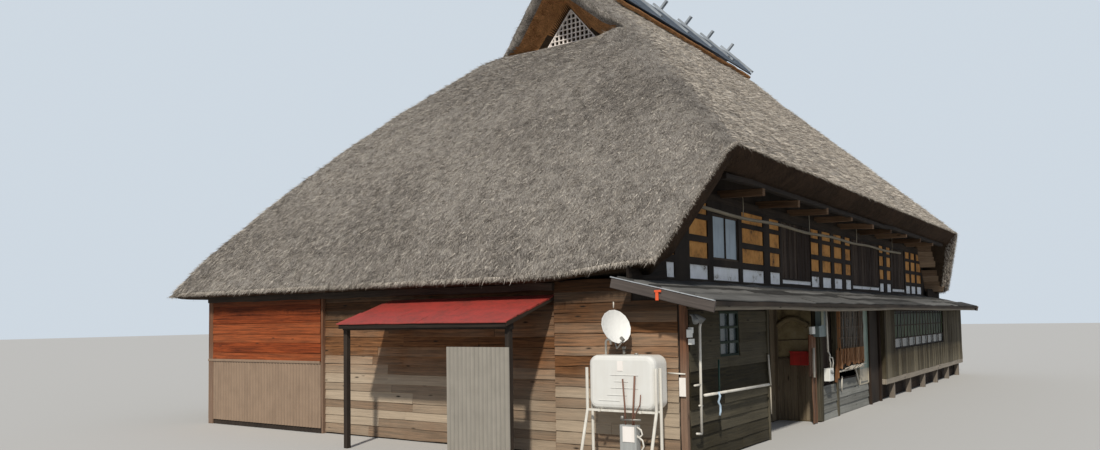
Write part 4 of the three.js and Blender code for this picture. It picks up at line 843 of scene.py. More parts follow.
pane = coated("dull_pane", "glass", (158, 172, 180), (110, 122, 128), 0.5, 0.25)
window_low, window_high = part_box("upper_window")
middle_x = (window_low[0] + window_high[0]) / 2
upright("upper_window_panes", [(middle_x + side * 0.28, window_high[1] - 0.03) for side in (-1, 1)],
        window_low[2], window_high[2], SOUTH, 0.54, 0.012, pane, 11, wave=0)
stiles = [window_low[0] + 0.025, middle_x, window_high[0] - 0.025]
rails, frame_y = (window_low[2] + 0.02, window_high[2] - 0.02), window_low[1] + 0.02
window_frame = timbers(
    "upper_window_frame",
    [(x, frame_y, window_low[2]) for x in stiles] + [(window_low[0], frame_y, z) for z in rails],
    [(x, frame_y, window_high[2]) for x in stiles] + [(window_high[0], frame_y, z) for z in rails],
    SOUTH, 0.045, 0.03, dark_sticks, 12, wave=0.001)
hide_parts("upper_window")

shutter_wood = wood("shutter_wood", "brown_boards", (26, 20, 16), (66, 50, 40), (84, 72, 62), 0.25)
SHUTTER_BOARD = 0.165
shutter_fields = []
for name in ("west", "middle", "east"):
    low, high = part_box("upper_shutter_" + name)
    shutter_fields.append(((low[0], (low[1] + high[1]) / 2, low[2]), UP, EAST,
                           high[2] - low[2], high[0] - low[0], SHUTTER_BOARD, WHOLE_BOARD))
shutters = boarding("upper_shutter_boards", shutter_fields, (0.03, -1, 0), 0.022, shutter_wood, 20)
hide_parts("upper_shutter_west", "upper_shutter_middle", "upper_shutter_east")

arm_wood = wood("arm_wood", "brown_boards", (52, 38, 28), (122, 92, 66), (150, 122, 96), 0.3)
arms_low, arms_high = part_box("eave_arms_and_purlin")
BAY, ARM_COUNT, ARM_Z, ARM_DROP = 1.82, 9, 4.29, 0.05
arm_x = RIDGE_X + BAY * (np.arange(ARM_COUNT) - (ARM_COUNT - 1) / 2)
rng = np.random.default_rng(30)
tip = np.stack([arm_x + rng.uniform(-0.04, 0.04, ARM_COUNT), np.full(ARM_COUNT, arms_low[1]),
                ARM_Z - ARM_DROP + rng.uniform(-0.03, 0.03, ARM_COUNT)], axis=1)
root = np.stack([arm_x, np.full(ARM_COUNT, arms_high[1]), np.full(ARM_COUNT, ARM_Z + 0.02)], axis=1)
arms = timbers("eave_arms", tip, root, UP, 0.12, 0.13, arm_wood, 31, wave=0.010)
PURLIN_Z, PURLIN_Y = 4.43, -5.84
purlin_end = np.array([(arms_low[0] + 0.1, PURLIN_Y, PURLIN_Z), (arms_low[0] + 0.1, PURLIN_Y - 0.09, 4.33)])
timbers("eave_purlin", purlin_end, purlin_end + (arms_high[0] - arms_low[0] - 0.2, 0, 0), UP,
        0.12, (0.14, 0.09), dark_sticks, 32, wave=0.012, steps=18)
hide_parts("eave_arms_and_purlin")
timbers("eave_plate", (arms_low[0] + 0.1, -5.13, 4.18), (arms_high[0] - 0.1, -5.13, 4.18), SOUTH, 0.14, 0.14,
        dark_sticks, 36, wave=0.006, steps=24)
RAFTER_COUNT, RAFTER_Y, RAFTER_Z = 37, -5.90, 4.36
rafter_x = np.linspace(arms_low[0] + 0.35, arms_high[0] - 0.35, RAFTER_COUNT)
rafter_x += rng.uniform(-0.07, 0.07, RAFTER_COUNT)
rafter_low = np.stack([rafter_x, np.full(RAFTER_COUNT, RAFTER_Y), np.full(RAFTER_COUNT, RAFTER_Z)], axis=1)
timbers("eave_rafters", rafter_low, rafter_low + (0, 0.83, 0.82), EAST, 0.075, 0.075, dark_sticks, 33,
        wave=0.006)
batten_y = np.array([-5.86, -5.66, -5.44, -5.24])
batten_low = np.stack([rafter_x[0] + 0 * batten_y, batten_y, RAFTER_Z + (batten_y - RAFTER_Y) * 0.99 + 0.06],
                      axis=1)
timbers("eave_battens", batten_low, batten_low + (rafter_x[-1] - rafter_x[0], 0, 0), (0, -0.7, 0.7), 0.04,
        0.04, dark_sticks, 34, wave=0.008, steps=24)

pole_wood = wood("pole_wood", "grey_wood", (96, 84, 66), (160, 146, 120), (150, 144, 130), 0.5)
pole_low, pole_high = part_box("hanging_pole")
POLE_Y, POLE_Z, HOOK_COUNT = -5.585, 3.84, 4
pole_share = np.linspace(0, 1, 25)
pole_route = np.stack([pole_low[0] + (pole_high[0] - pole_low[0]) * pole_share,
                       POLE_Y + 0.012 * np.sin(pole_share * 19),
                       POLE_Z - 0.03 * np.sin(pole_share * math.pi * 4) ** 2],
                      axis=1)
hooks = [[(x, POLE_Y, 4.25), (x + 0.02, POLE_Y, 4.02), (x, POLE_Y, 3.82)] for x in arm_x[::2][:HOOK_COUNT]]
pole = tubes("hanging_pole_wood", [pole_route, *hooks], (0.030, *[0.009] * len(hooks)), pole_wood, 35)
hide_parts("hanging_pole")

# The roof along the front: long split boards in lapped courses, silvered by the sun, a round eave log
# under their edge, and at each end a bargeboard with a pale metal cap.
leanto_wood = wood("leanto_wood", "grey_wood", (8, 8, 8), (66, 64, 61), (116, 115, 112), 0.4)
leanto_low, leanto_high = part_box("front_leanto_roof")
LEANTO_COURSES, LEANTO_RAFTERS, LEANTO_TOP_Z, LEANTO_EAVE_Z = 6, 32, 2.655, 2.305
slope = np.array((0, leanto_high[1] - leanto_low[1], LEANTO_TOP_Z - LEANTO_EAVE_Z))
reach = float(np.linalg.norm(slope))
upward = np.array((0, -slope[2], slope[1])) / reach
roof_corner = np.array((leanto_low[0], leanto_low[1], LEANTO_EAVE_Z + 0.012))
boarding("leanto_roof_boards", [(roof_corner, EAST, slope / reach, leanto_high[0] - leanto_low[0], reach,
                                 reach / LEANTO_COURSES, 4.5)],
         upward + (0, -0.045, 0), 0.022, leanto_wood, 40, wave=0.007, steps=10)
eave_wood = wood("eave_wood", "grey_wood", (52, 44, 36), (112, 100, 84), (140, 134, 124), 0.45)
log_x = np.linspace(leanto_low[0] + 0.05, leanto_high[0] - 0.05, 40)
log_wave = noise(np.stack([log_x, 0 * log_x, 0 * log_x], axis=1), 1.9, 41)
log_route = np.stack([log_x, leanto_low[1] + 0.10 + 0 * log_x, LEANTO_EAVE_Z - 0.085 + 0.018 * log_wave],
                     axis=1)
tubes("leanto_eave_log", [log_route], 0.045, eave_wood, 42, sides=12)
dress(dark_timber, "front_leanto_roof")

barge_wood = wood("barge_wood", "brown_boards", (30, 25, 23), (66, 58, 54), (88, 81, 77), 0.4)
cap_metal = coated("cap_metal", "grey_sheet", (205, 208, 210), (120, 118, 116), 0.5, 0.4, 0.6)
for number, side in enumerate(("west", "east")):
    low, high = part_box(side + "_bargeboard")
    x = (low[0] + high[0]) / 2
    foot, top = np.array((x, low[1], low[2] + 0.095)), np.array((x, high[1], high[2] - 0.10))
    board = timbers(side + "_bargeboard_wood", foot, top, EAST, 0.15, 0.036, barge_wood, 43 + number,
                    wave=0.003)
    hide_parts(side + "_bargeboard")
    timbers(side + "_bargeboard_cap", foot + (0, 0, 0.085), top + (0, 0, 0.085), (0, 0.24, 1), 0.055, 0.012,
            cap_metal, 45 + number, wave=0.001)
leanto_rafter_x = np.linspace(leanto_low[0] + 0.25, leanto_high[0] - 0.25, LEANTO_RAFTERS)
low_end = np.stack([leanto_rafter_x, np.full(LEANTO_RAFTERS, leanto_low[1] + 0.16),
                    np.full(LEANTO_RAFTERS, LEANTO_EAVE_Z - 0.065)], axis=1)
timbers("leanto_rafters", low_end, low_end + slope * 0.42, EAST, 0.06, 0.045, dark_sticks, 47, wave=0.003)
timbers("front_header", (-10.1, -6.02, 2.27), (10.9, -6.02, 2.27), SOUTH, 0.13, 0.05,
        wood("header_wood", "dark_timber", (44, 36, 28), (88, 76, 54), TAN_DUST, 0.2), 48, wave=0.006,
        steps=30)

# The west side: lapped boards with the eave's shadow painted dark at their top, orange below it and grey at
# the foot, the reddish boards with the same painted shadow at their top over a ribbed skirt at the back, the
# red roof with its screen, and the corner post.
WALL_PROUD, BOARD_FOOT, WEST_BOARD, BEHIND_LEANTO = 0.014, 0.03, 0.165, -5.15
# These boards, also used on the back and the east end, are weathered grey at the foot and painted darker
# above 1.85 m as the eave's shadow.
west_wood = wood("west_wood", "brown_boards", (32, 22, 14), (152, 104, 66), (164, 148, 128), 0.3,
                 fade=((0.95, 0.85), (1.55, 0.08)), painted_shadow=((1.85, 1.0), (2.25, 0.42)))
# The reddish boards are painted darker above 2.05 m as the eave's shadow.
red_wood = wood("red_wood", "red_boards", (56, 22, 10), (172, 82, 38), (130, 84, 54), 0.12,
                painted_shadow=((2.05, 1.0), (2.6, 0.45)))
fields = {}
for name, low_z in (("west_wall_south", BOARD_FOOT), ("west_wall_middle", BOARD_FOOT),
                    ("west_wall_north", 1.36)):
    low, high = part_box(name)
    corner = (low[0] - WALL_PROUD, low[1], low_z)
    fields[name] = (corner, NORTH, UP, high[1] - low[1], high[2] - low_z - 0.02)
south = fields["west_wall_south"]
under_leanto = 14 * WEST_BOARD
open_length = south[3] - (BEHIND_LEANTO - south[0][1])
boarding("west_boards", [(*south[:4], under_leanto, WEST_BOARD, 1.7),
                         (*fields["west_wall_middle"], WEST_BOARD, 2.1),
                         ((south[0][0], BEHIND_LEANTO, south[0][2] + under_leanto), *south[1:3], open_length,
                          south[4] - under_leanto, WEST_BOARD, 1.7)], (-1, 0, LAP_LEAN), LAPPED_THICK,
         west_wood, 50)
boarding("red_wall_boards", [(*fields["west_wall_north"], 0.2, 3.6)], (-1, 0, 0.07), LAPPED_THICK, red_wood,
         53)
dress(dark_timber, "west_wall_south", "west_wall_middle", "west_wall_north")

post_wood = wood("post_wood", "brown_boards", (60, 38, 26), (128, 80, 50), (124, 102, 86), 0.2,
                 fade=((1.2, 0.8), (1.7, 0.1)))
upright("corner_posts", [(-10.12, -5.955), (-10.09, 1.66), (-10.12, 5.09), (-10.07, -3.83)], 0,
        (2.42, 2.66, 2.66, 2.66), WEST, (0.10, 0.15, 0.15, 0.15), (0.09, 0.12, 0.12, 0.12), post_wood, 55,
        wave=0.003)
bare_plate = coated("bare_plate", "white_enamel", (232, 226, 220), (190, 176, 160), 0.3, 0.4)
upright("corner_plate", (-10.19, -5.952), 0.99, 1.25, WEST, 0.10, 0.008, bare_plate, 56, wave=0)


def corrugated(name, corner, along, up, out, width, height, pitch, depth, material, thick=0.004):
    """A sheet with round ribs that run up it: each point stands out by a raised cosine of its place along."""
    corner, along, up, out = (np.asarray(vector, float) for vector in (corner, along, up, out))
    columns = int(width / pitch * 8) + 1
    u, v = np.linspace(0, width, columns), np.linspace(0, height, 5)
    proud = depth * (0.5 + 0.5 * np.cos(2 * math.pi * u / pitch)) ** 2
    face = corner + along * u[None, :, None] + up * v[:, None, None] + out * proud[None, :, None]
    back = face - out * thick
    loop = np.concatenate([face, back[:, ::-1]], axis=1)
    middle = (loop[:1] + loop[:1, ::-1]) / 2, (loop[-1:] + loop[-1:, ::-1]) / 2
    grid = np.concatenate([middle[0], loop, middle[1]])
    points, triangles, places, _ = surface([(grid[::-1], True)])
    return mesh_object(name, points, triangles, places, (material,))


skirt_low, skirt_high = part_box("sheet_skirt")
tan_sheet = coated("tan_sheet", "tan_metal", (140, 118, 98), (104, 86, 70), 0.5, 0.6)
skirt = corrugated("sheet_skirt_ribs", (skirt_low[0] + 0.008, skirt_high[1], skirt_low[2]), SOUTH, UP,
                   WEST, skirt_high[1] - skirt_low[1], skirt_high[2] - skirt_low[2], 0.09, 0.014, tan_sheet)
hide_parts("sheet_skirt")
timbers("sheet_skirt_cap", (skirt_low[0] - 0.004, skirt_low[1], skirt_high[2] + 0.01),
        (skirt_low[0] - 0.004, skirt_high[1], skirt_high[2] + 0.01), WEST, 0.05, 0.03, tan_sheet, 57,
        wave=0.001)

red_low, red_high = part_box("red_leanto_roof")
red_sheet = coated("red_sheet", "red_metal", (158, 58, 50), (96, 54, 46), 0.8, 0.5)
RED_TOP, RED_FOOT = np.array((red_high[0], 0, red_high[2])), np.array((red_low[0], 0, 2.07))
red_run = RED_TOP - RED_FOOT
red_reach = float(np.linalg.norm(red_run))
red_out = np.array((-red_run[2], 0, red_run[0])) / red_reach
red_field = (RED_FOOT + (0, red_high[1], 0) + red_out * 0.004, SOUTH, red_run / red_reach,
             red_high[1] - red_low[1], red_reach, red_reach / 5, 1.85)
red_roof = boarding("red_roof_courses", [red_field], red_out + (-0.03, 0, 0), 0.020, red_sheet, 74,
                    wave=0.002, lap=0.03)
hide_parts("red_leanto_roof")
timbers("red_roof_edges", [RED_FOOT + (0.01, red_low[1] + 0.015, -0.03),
                           RED_FOOT + (0.02, red_low[1] + 0.03, -0.045)],
        [RED_TOP + (0, red_low[1] + 0.015, -0.03), RED_FOOT + (0.02, red_high[1] - 0.03, -0.045)],
        [SOUTH, WEST], 0.07, 0.025, dark_sticks, 58)
grey_sheet = coated("grey_sheet", "grey_sheet", (140, 134, 124), (102, 98, 90), 0.4, 0.5)
screen_low, screen_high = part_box("grey_screen")
screen = corrugated("grey_screen_ribs", (screen_high[0] - 0.012, screen_high[1], screen_low[2]), SOUTH, UP,
                    WEST, screen_high[1] - screen_low[1], screen_high[2] - screen_low[2], 0.08, 0.010,
                    grey_sheet)
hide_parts("grey_screen")
timbers("plate_beam", (-10.15, -3.8, 2.60), (-10.15, 5.1, 2.61), WEST, 0.12, 0.17, dark_sticks, 59,
        wave=0.006, steps=30)

# Beside the west wall: the cream oil tank with its pressed seams, vent, filler and feed pipes on a
# white tube stand, a grey meter box with a bare plate, and the white dish.
cream = coated("cream_enamel", "white_enamel", (214, 213, 208), (170, 160, 142), 0.16, 0.3)
white_pipe = coated("white_pipe", "pipe", (214, 210, 200), (150, 138, 124), 0.5, 0.45)
grey_pipe = coated("grey_pipe", "pipe", (150, 148, 142), (104, 92, 80), 0.6, 0.5, 0.6)
brown_pipe = coated("brown_pipe", "pipe", (118, 82, 66), (80, 56, 44), 0.5, 0.6)
dress(cream, "oil_tank")
dress(white_pipe, "tank_stand")
tank_low, tank_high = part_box("oil_tank")
front_x, tank_mid_y = tank_low[0] - 0.003, (tank_low[1] + tank_high[1]) / 2
seams = [(1.30, -0.28, 0.16), (1.12, -0.28, 0.16), (0.94, 0.02, 0.36), (1.21, -0.12, 0.10),
         (1.02, -0.10, 0.22)]
timbers("tank_seams", [(front_x, tank_mid_y + a, z) for z, a, b in seams],
        [(front_x, tank_mid_y + b, z) for z, a, b in seams], WEST, 0.010, 0.010, cream, 60, wave=0)
upright("tank_plate", (front_x, -5.231), 1.358, 1.495, WEST, 0.09, 0.008, bare_plate, 61, wave=0)
vent_x = (tank_low[0] + tank_high[0]) / 2
vent_y, filler_y = -4.88, -5.177
tubes("tank_vent", [[(vent_x, vent_y, 1.57), (vent_x, vent_y, 1.76), (vent_x, vent_y - 0.015, 1.785),
                     (vent_x, vent_y - 0.045, 1.795), (vent_x, vent_y - 0.075, 1.78),
                     (vent_x, vent_y - 0.085, 1.72)]], 0.017, white_pipe, 62)
tubes("tank_filler", [[(vent_x, filler_y, 1.57), (vent_x, filler_y, 1.66)],
                      [(vent_x, filler_y, 1.66), (vent_x, filler_y, 1.69)],
                      [(vent_x, filler_y - 0.2, 1.57), (vent_x, filler_y - 0.2, 1.60)]],
      (0.020, 0.032, 0.028), grey_pipe, 63)
feed_x = tank_low[0] - 0.03
feeds = [[(feed_x, -5.285, 1.25), (feed_x, -5.31, 0.90), (feed_x, -5.32, 0.58)],
         [(feed_x, -5.477, 1.295), (feed_x, -5.45, 0.90), (feed_x, -5.43, 0.58)],
         [(feed_x, -5.565, 1.04), (feed_x, -5.55, 0.90), (feed_x, -5.47, 0.76), (feed_x, -5.45, 0.58)]]
tubes("tank_feed_pipes", feeds, (0.012, 0.014, 0.008), brown_pipe, 64)
tubes("tank_feed_header", [[(feed_x, -5.24, 0.685), (feed_x, -5.56, 0.695)],
                           [(feed_x, -5.27, 0.74), (feed_x, -5.27, 0.69)]], (0.014, 0.028), grey_pipe, 65)
box_grey = coated("box_grey", "grey_sheet", (158, 160, 158), (110, 108, 104), 0.5, 0.5)
upright("meter_box_west", (feed_x + 0.03, -5.37), 0.0, 0.62, WEST, 0.26, 0.13, box_grey, 66, wave=0)
upright("meter_box_plate", (feed_x - 0.04, -5.385), 0.39, 0.60, WEST, 0.185, 0.008, bare_plate, 67, wave=0)
tubes("meter_loops", [[(feed_x, -5.49, 0.60), (feed_x, -5.56, 0.56), (feed_x, -5.58, 0.50),
                       (feed_x, -5.54, 0.46), (feed_x, -5.49, 0.45)],
                      [(feed_x, -5.49, 0.48), (feed_x, -5.58, 0.42), (feed_x, -5.60, 0.34),
                       (feed_x, -5.55, 0.26), (feed_x, -5.49, 0.24)]], 0.012, white_pipe, 68)
dish_white = coated("dish_white", "white_enamel", (234, 234, 231), (190, 190, 184), 0.2, 0.35)
dress(dish_white, "satellite_dish")
dress(grey_pipe, "dish_mount")
tubes("wall_spike", [[(-10.08, -4.85, 2.24), (-10.17, -4.852, 2.25), (-10.17, -4.853, 2.34)]], 0.010,
      white_pipe, 69)

# The front of the ground storey at its west end: dark lapped boards around a small window, and the
# recessed entrance with plastered sides over vertical boards, a bowed beam and a plank door.
front_wood = wood("front_wood", "brown_boards", (22, 20, 12), (62, 54, 34), (96, 90, 76), 0.15,
                  fade=((0.5, 0.35), (1.3, 0.1)))
wall_low, wall_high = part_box("front_wall_west")
pane_low, pane_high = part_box("front_window_west")
FRONT_PROUD, FRONT_BOARD, FRONT_TOP = 0.014, 0.175, 2.17
face_y = wall_low[1] - FRONT_PROUD
boarding("front_boards_west", [
    ((wall_low[0] + 0.1, face_y, BOARD_FOOT), EAST, UP, wall_high[0] - wall_low[0] - 0.1,
     pane_low[2] - BOARD_FOOT, FRONT_BOARD, 1.9),
    ((wall_low[0] + 0.1, face_y, pane_low[2]), EAST, UP, pane_low[0] - wall_low[0] - 0.1,
     FRONT_TOP - pane_low[2], FRONT_BOARD, WHOLE_BOARD),
    ((pane_high[0], face_y, pane_low[2]), EAST, UP, wall_high[0] - pane_high[0],
     FRONT_TOP - pane_low[2], FRONT_BOARD, WHOLE_BOARD)], (0, -1, LAP_LEAN), LAPPED_THICK, front_wood, 70)
dress(dark_timber, "front_wall_west", "front_wall_middle", "entrance_back_wall")

frosted = coated("frosted_pane", "glass", (72, 82, 84), (46, 54, 55), 0.6, 0.25)
green_paint = wood("green_paint", "glass", (28, 38, 32), (44, 58, 48), (70, 76, 66), 0.1)


def lattice_window(name, low, high, y, uprights, heights, width, sheet, bars, seed):
    """A sheet of glass behind bars: upright ones at the given shares of the width, and level ones at the
    given heights. It returns the bars."""
    upright(name + "_glass", ((low[0] + high[0]) / 2, y + 0.025), low[2], high[2], SOUTH,
            high[0] - low[0] - 0.01, 0.008, sheet, seed, wave=0)
    x = low[0] + (high[0] - low[0]) * np.asarray(uprights)
    z = np.asarray(heights)
    start = np.concatenate([np.stack([x, y + 0 * x, low[2] + 0 * x], axis=1),
                            np.stack([low[0] + 0 * z, y + 0 * z, z], axis=1)])
    end = np.concatenate([np.stack([x, y + 0 * x, high[2] + 0 * x], axis=1),
                          np.stack([high[0] + 0 * z, y + 0 * z, z], axis=1)])
    return timbers(name + "_bars", start, end, SOUTH, width, 0.024, bars, seed + 1, wave=0.001)


west_bars = lattice_window("west_window", pane_low, pane_high, pane_low[1] + 0.012, (0.03, 0.5, 0.97),
                           (pane_low[2] + 0.02, pane_low[2] + 0.22, 1.93, pane_high[2] - 0.02), 0.04, frosted,
                           green_paint, 73)
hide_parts("front_window_west")

entry_wood = wood("entry_wood", "brown_boards", (66, 56, 44), (126, 110, 88), (130, 118, 100), 0.25)
clay, tree, shader = new_material("entry_plaster", "plaster", 0.95)
uneven = add_noise(tree, place_of(tree), 2.2, 7.0, 0.7)
colour = add_ramp(tree, uneven, [(0.3, srgb(84, 70, 48)), (0.5, srgb(148, 132, 98)),
                                 (0.7, srgb(172, 158, 126))])
tree.links.new(colour, shader.inputs["Base Color"])
add_bump(tree, uneven, 0.5, 0.01, shader.inputs["Normal"])
dress(clay, "entrance_side_west", "entrance_side_east")
side_low, side_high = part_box("entrance_side_east")
PANEL_TOP = 1.22
boarding("entry_side_boards", [((side_low[0] - 0.010, side_low[1], 0.02), UP, NORTH, PANEL_TOP,
                                side_high[1] - side_low[1], 0.15, WHOLE_BOARD)], WEST, FLUSH_THICK,
         entry_wood, 76, lap=-0.004)
timbers("entry_side_rails", [(side_low[0] - 0.02, side_low[1], PANEL_TOP + 0.02),
                             (side_low[0] - 0.01, side_low[1], 1.62)],
        [(side_low[0] - 0.02, side_high[1], PANEL_TOP + 0.02), (side_low[0] - 0.01, side_high[1], 1.60)],
        WEST, (0.05, 0.018), (0.03, 0.014), entry_wood, 77)
beam_low, beam_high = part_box("bowed_beam")
beam_share = np.linspace(0, 1, 13)
beam_route = np.stack([0 * beam_share + beam_high[0] - 0.03,
                       beam_low[1] + (beam_high[1] - beam_low[1]) * beam_share,
                       1.88 + 0.15 * np.sin(beam_share * math.pi)], axis=1)
bowed = tubes("bowed_beam_log", [beam_route], 0.06,
              wood("bowed_wood", "brown_boards", (110, 94, 66), (168, 148, 110), (160, 148, 122), 0.4), 75)
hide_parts("bowed_beam")
door_low, door_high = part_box("entrance_door")
door = boarding("entrance_door_boards", [
    ((door_low[0], (door_low[1] + door_high[1]) / 2, 0.02), UP, EAST, door_high[2] - 0.04,
     door_high[0] - door_low[0], 0.18, WHOLE_BOARD)], SOUTH, 0.035, entry_wood, 78, lap=-0.003)
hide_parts("entrance_door")
inner_low, inner_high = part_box("entrance_back_wall")
boarding("entry_back_boards", [((inner_low[0], inner_low[1] - 0.012, 0.02), UP, EAST, inner_high[2] - 0.04,
                                door_low[0] - inner_low[0], 0.17, WHOLE_BOARD),
                               ((door_high[0], inner_low[1] - 0.012, 0.02), UP, EAST, inner_high[2] - 0.04,
                                inner_high[0] - door_high[0], 0.17, WHOLE_BOARD)], SOUTH, FLUSH_THICK,
         entry_wood, 79, lap=-0.003)

orange_wood = wood("orange_wood", "brown_boards", (90, 58, 34), (160, 108, 66), (160, 128, 98), 0.25)
POST_TOP, DOORWAY_X = 2.24, -3.05
upright("entrance_posts", [(wall_high[0] - 0.04, -5.98), (side_low[0] - 0.02, -5.97),
                           (side_low[0] + 0.10, -5.985), (DOORWAY_X, -5.98)], (0, 0.02, 0, 0), POST_TOP,
        SOUTH, (0.07, 0.06, 0.14, 0.12), 0.11, front_wood, 80)
timbers("entry_low_boards", [(-4.63, -6.02, 0.02), (-4.52, -6.03, 0.02), (-4.74, -6.0, 0.92),
                             (-4.60, -6.0, 0.92), (-4.46, -6.0, 0.92)],
        [(-4.63, -6.01, 0.97), (-4.52, -6.03, 0.95), (-4.74, -6.0, 1.72), (-4.60, -6.0, 1.70),
         (-4.46, -6.0, 1.70)], SOUTH, (0.12, 0.045, 0.13, 0.13, 0.13), 0.022, post_wood, 81)
pale_wood = wood("pale_wood", "grey_wood", (150, 136, 116), (204, 194, 176), (190, 186, 176), 0.5)
tubes("entry_sticks", [[(-4.70, -6.06, 0.90), (-4.68, -6.05, 1.2), (-4.64, -6.04, 1.46)],
                       [(-7.05, -6.06, 0.92), (-7.07, -6.05, 1.2), (-7.10, -6.05, 1.44)],
                       [(-7.05, -6.06, 0.44), (-7.06, -6.06, 0.90)]], (0.022, 0.016, 0.012), pale_wood, 82)
red_enamel = coated("red_enamel", "red_metal", (198, 50, 46), (110, 34, 30), 0.5, 0.4)
dress(red_enamel, "letter_box")
box_low, box_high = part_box("letter_box")
timbers("letter_box_flap", (box_low[0] - 0.004, box_low[1] + 0.03, 1.30),
        (box_low[0] - 0.004, box_high[1] - 0.03, 1.30), WEST, 0.05, 0.008, red_enamel, 83, wave=0)
timbers("letter_box_lid", (box_low[0] + 0.06, box_low[1] - 0.012, box_high[2] + 0.006),
        (box_low[0] + 0.06, box_high[1] + 0.012, box_high[2] + 0.006), UP, 0.145, 0.014, red_enamel, 84,
        wave=0)

# The doorway beside it, closed by dark boards, the small lattice bay with its lower slats broken off,
# the low plinth of grey boards and the tall sheet panel.
dark_board = wood("dark_board", "dark_timber", (26, 20, 16), (58, 44, 34), (76, 66, 56), 0.15)
slat_wood = wood("slat_wood", "grey_wood", (46, 36, 28), (96, 78, 60), (128, 120, 110), 0.3,
                 fade=((1.0, 0.1), (2.0, 0.5)))
bay_low, bay_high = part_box("west_bay_lattice")
RAIL_Z, SLATS = 1.38, 15
slat_y = bay_low[1] + 0.012
slat_x = np.linspace(bay_low[0] + 0.06, bay_high[0] - 0.06, SLATS)
rng = np.random.default_rng(90)
foot = bay_low[2] + 0.02 + 0.10 * np.abs(np.sin(np.arange(SLATS) * 2.3)) + rng.uniform(-0.03, 0.03, SLATS)
slat_places = [(x, slat_y) for x in slat_x]
upright("west_bay_low_slats", slat_places, foot, RAIL_Z, SOUTH, 0.056, 0.02, orange_wood, 91)
upper_slats = upright("west_bay_high_slats", slat_places, RAIL_Z, bay_high[2] - 0.02, SOUTH, 0.035, 0.02,
                      slat_wood, 92)
rail_z = np.array([RAIL_Z, 1.60, 1.82, 2.03, bay_high[2] - 0.03])
timbers("west_bay_rails", np.stack([bay_low[0] + 0 * rail_z, slat_y + 0.022 + 0 * rail_z, rail_z], axis=1),
        np.stack([bay_high[0] + 0 * rail_z, slat_y + 0.022 + 0 * rail_z, rail_z], axis=1), SOUTH,
        (0.06, 0.025, 0.025, 0.025, 0.06), 0.026, slat_wood, 93)
bay_middle = (bay_low[0] + bay_high[0]) / 2
upright("west_bay_glass", (bay_middle, slat_y + 0.06), RAIL_Z, bay_high[2], SOUTH,
        bay_high[0] - bay_low[0] - 0.7, 0.008, frosted, 94, wave=0)
upright("west_bay_dark_sheet", (bay_middle, slat_y + 0.06), 0.97, RAIL_Z - 0.002, SOUTH,
        bay_high[0] - bay_low[0] - 0.12, 0.01, dark_board, 106, wave=0)
upright("west_bay_sides", [(bay_low[0] + 0.02, slat_y + 0.05), (bay_high[0] - 0.02, slat_y + 0.05),
                           (bay_low[0] - 0.02, slat_y + 0.10)], (0.98, 0.98, 0.78),
        (bay_high[2], bay_high[2], 1.40), EAST, (0.10, 0.10, 0.12), 0.03, orange_wood, 95)
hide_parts("west_bay_lattice")
twigs = rng.uniform(0, 1, (14, 3))
tubes("west_bay_twigs", [[(-2.9 + 1.2 * a, -6.14 + 0.05 * b, 0.93 + 0.06 * c),
                          (-2.7 + 1.2 * a + 0.12, -6.13 + 0.04 * b, 0.96 + 0.04 * (1 - c)),
                          (-2.45 + 1.1 * a + 0.2 * b, -6.12, 0.90 + 0.10 * b)] for a, b, c in twigs],
      0.011, pale_wood, 96, sides=6)
timbers("west_bay_ledge", (bay_low[0], slat_y + 0.07, 0.92), (bay_high[0], slat_y + 0.07, 0.93), UP, 0.10,
        0.03, pale_wood, 97)
tubes("west_bay_props", [[(-2.72, -6.0, 0.48), (-2.71, -6.01, 0.80)],
                         [(-1.62, -6.0, 0.90), (-1.40, -6.01, 0.55)]], (0.016, 0.020), pale_wood, 98)
timbers("void_boards", [(-2.88, -5.93, 0.62), (-2.88, -5.93, 1.12)],
        [(-1.27, -5.93, 0.62), (-1.27, -5.93, 1.12)], SOUTH, (0.26, 0.36), 0.03, dark_board, 99)
DARK_Y, DARK_FOOT, DARK_HEIGHT = -5.90, 0.02, 2.18
boarding("doorway_boards", [((-4.12, DARK_Y, DARK_FOOT), UP, EAST, DARK_HEIGHT, 1.06, 0.15, WHOLE_BOARD)],
         SOUTH, 0.02, dark_board, 100)

plinth_wood = wood("plinth_wood", "grey_wood", (66, 64, 58), (122, 122, 116), (150, 150, 144), 0.7)
plinth_low, plinth_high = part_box("plank_plinth")
plinth = boarding("plank_plinth_boards", [
    ((plinth_low[0], plinth_low[1] + 0.02, 0.01), EAST, UP, plinth_high[0] - plinth_low[0], 0.70, 0.16, 2.6)],
    (0, -1, 0.12), 0.024, plinth_wood, 101)
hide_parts("plank_plinth")
boarding("doorway_plinth", [((-4.05, -6.0, 0.01), EAST, UP, 1.0, 0.66, 0.16, 2.0)], (0, -1, 0.12), 0.022,
         plinth_wood, 102)

PANEL_SEAM = (0.84, 0.87)
panel_paint, tree, shader = new_material("panel_paint", "panel", 0.55)
look = add_node(tree, "Group", {"Grime": (*srgb(90, 92, 84), 1), "Amount": 0.4}, node_tree=stain_look)
colour = add_mix(tree, add_range(tree, height_of(tree), *PANEL_SEAM), srgb(178, 168, 148),
                 srgb(128, 146, 134))
tree.links.new(colour, look.inputs["Clean"])
tree.links.new(look.outputs["Color"], shader.inputs["Base Color"])
dress(panel_paint, "tall_panel")
panel_low, panel_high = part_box("tall_panel")
panel_x = panel_low[0] + 0.02, panel_high[0] - 0.02
upright("tall_panel_rims", [(x, panel_low[1] - 0.006) for x in panel_x], 0.52, 2.20, SOUTH, 0.04, 0.014,
        panel_paint, 103, wave=0.001)
upright("panel_posts", [(-0.44, -5.985), (0.50, -5.985)], 0, 2.26, SOUTH, (0.08, 0.12), 0.10, dark_board, 104)
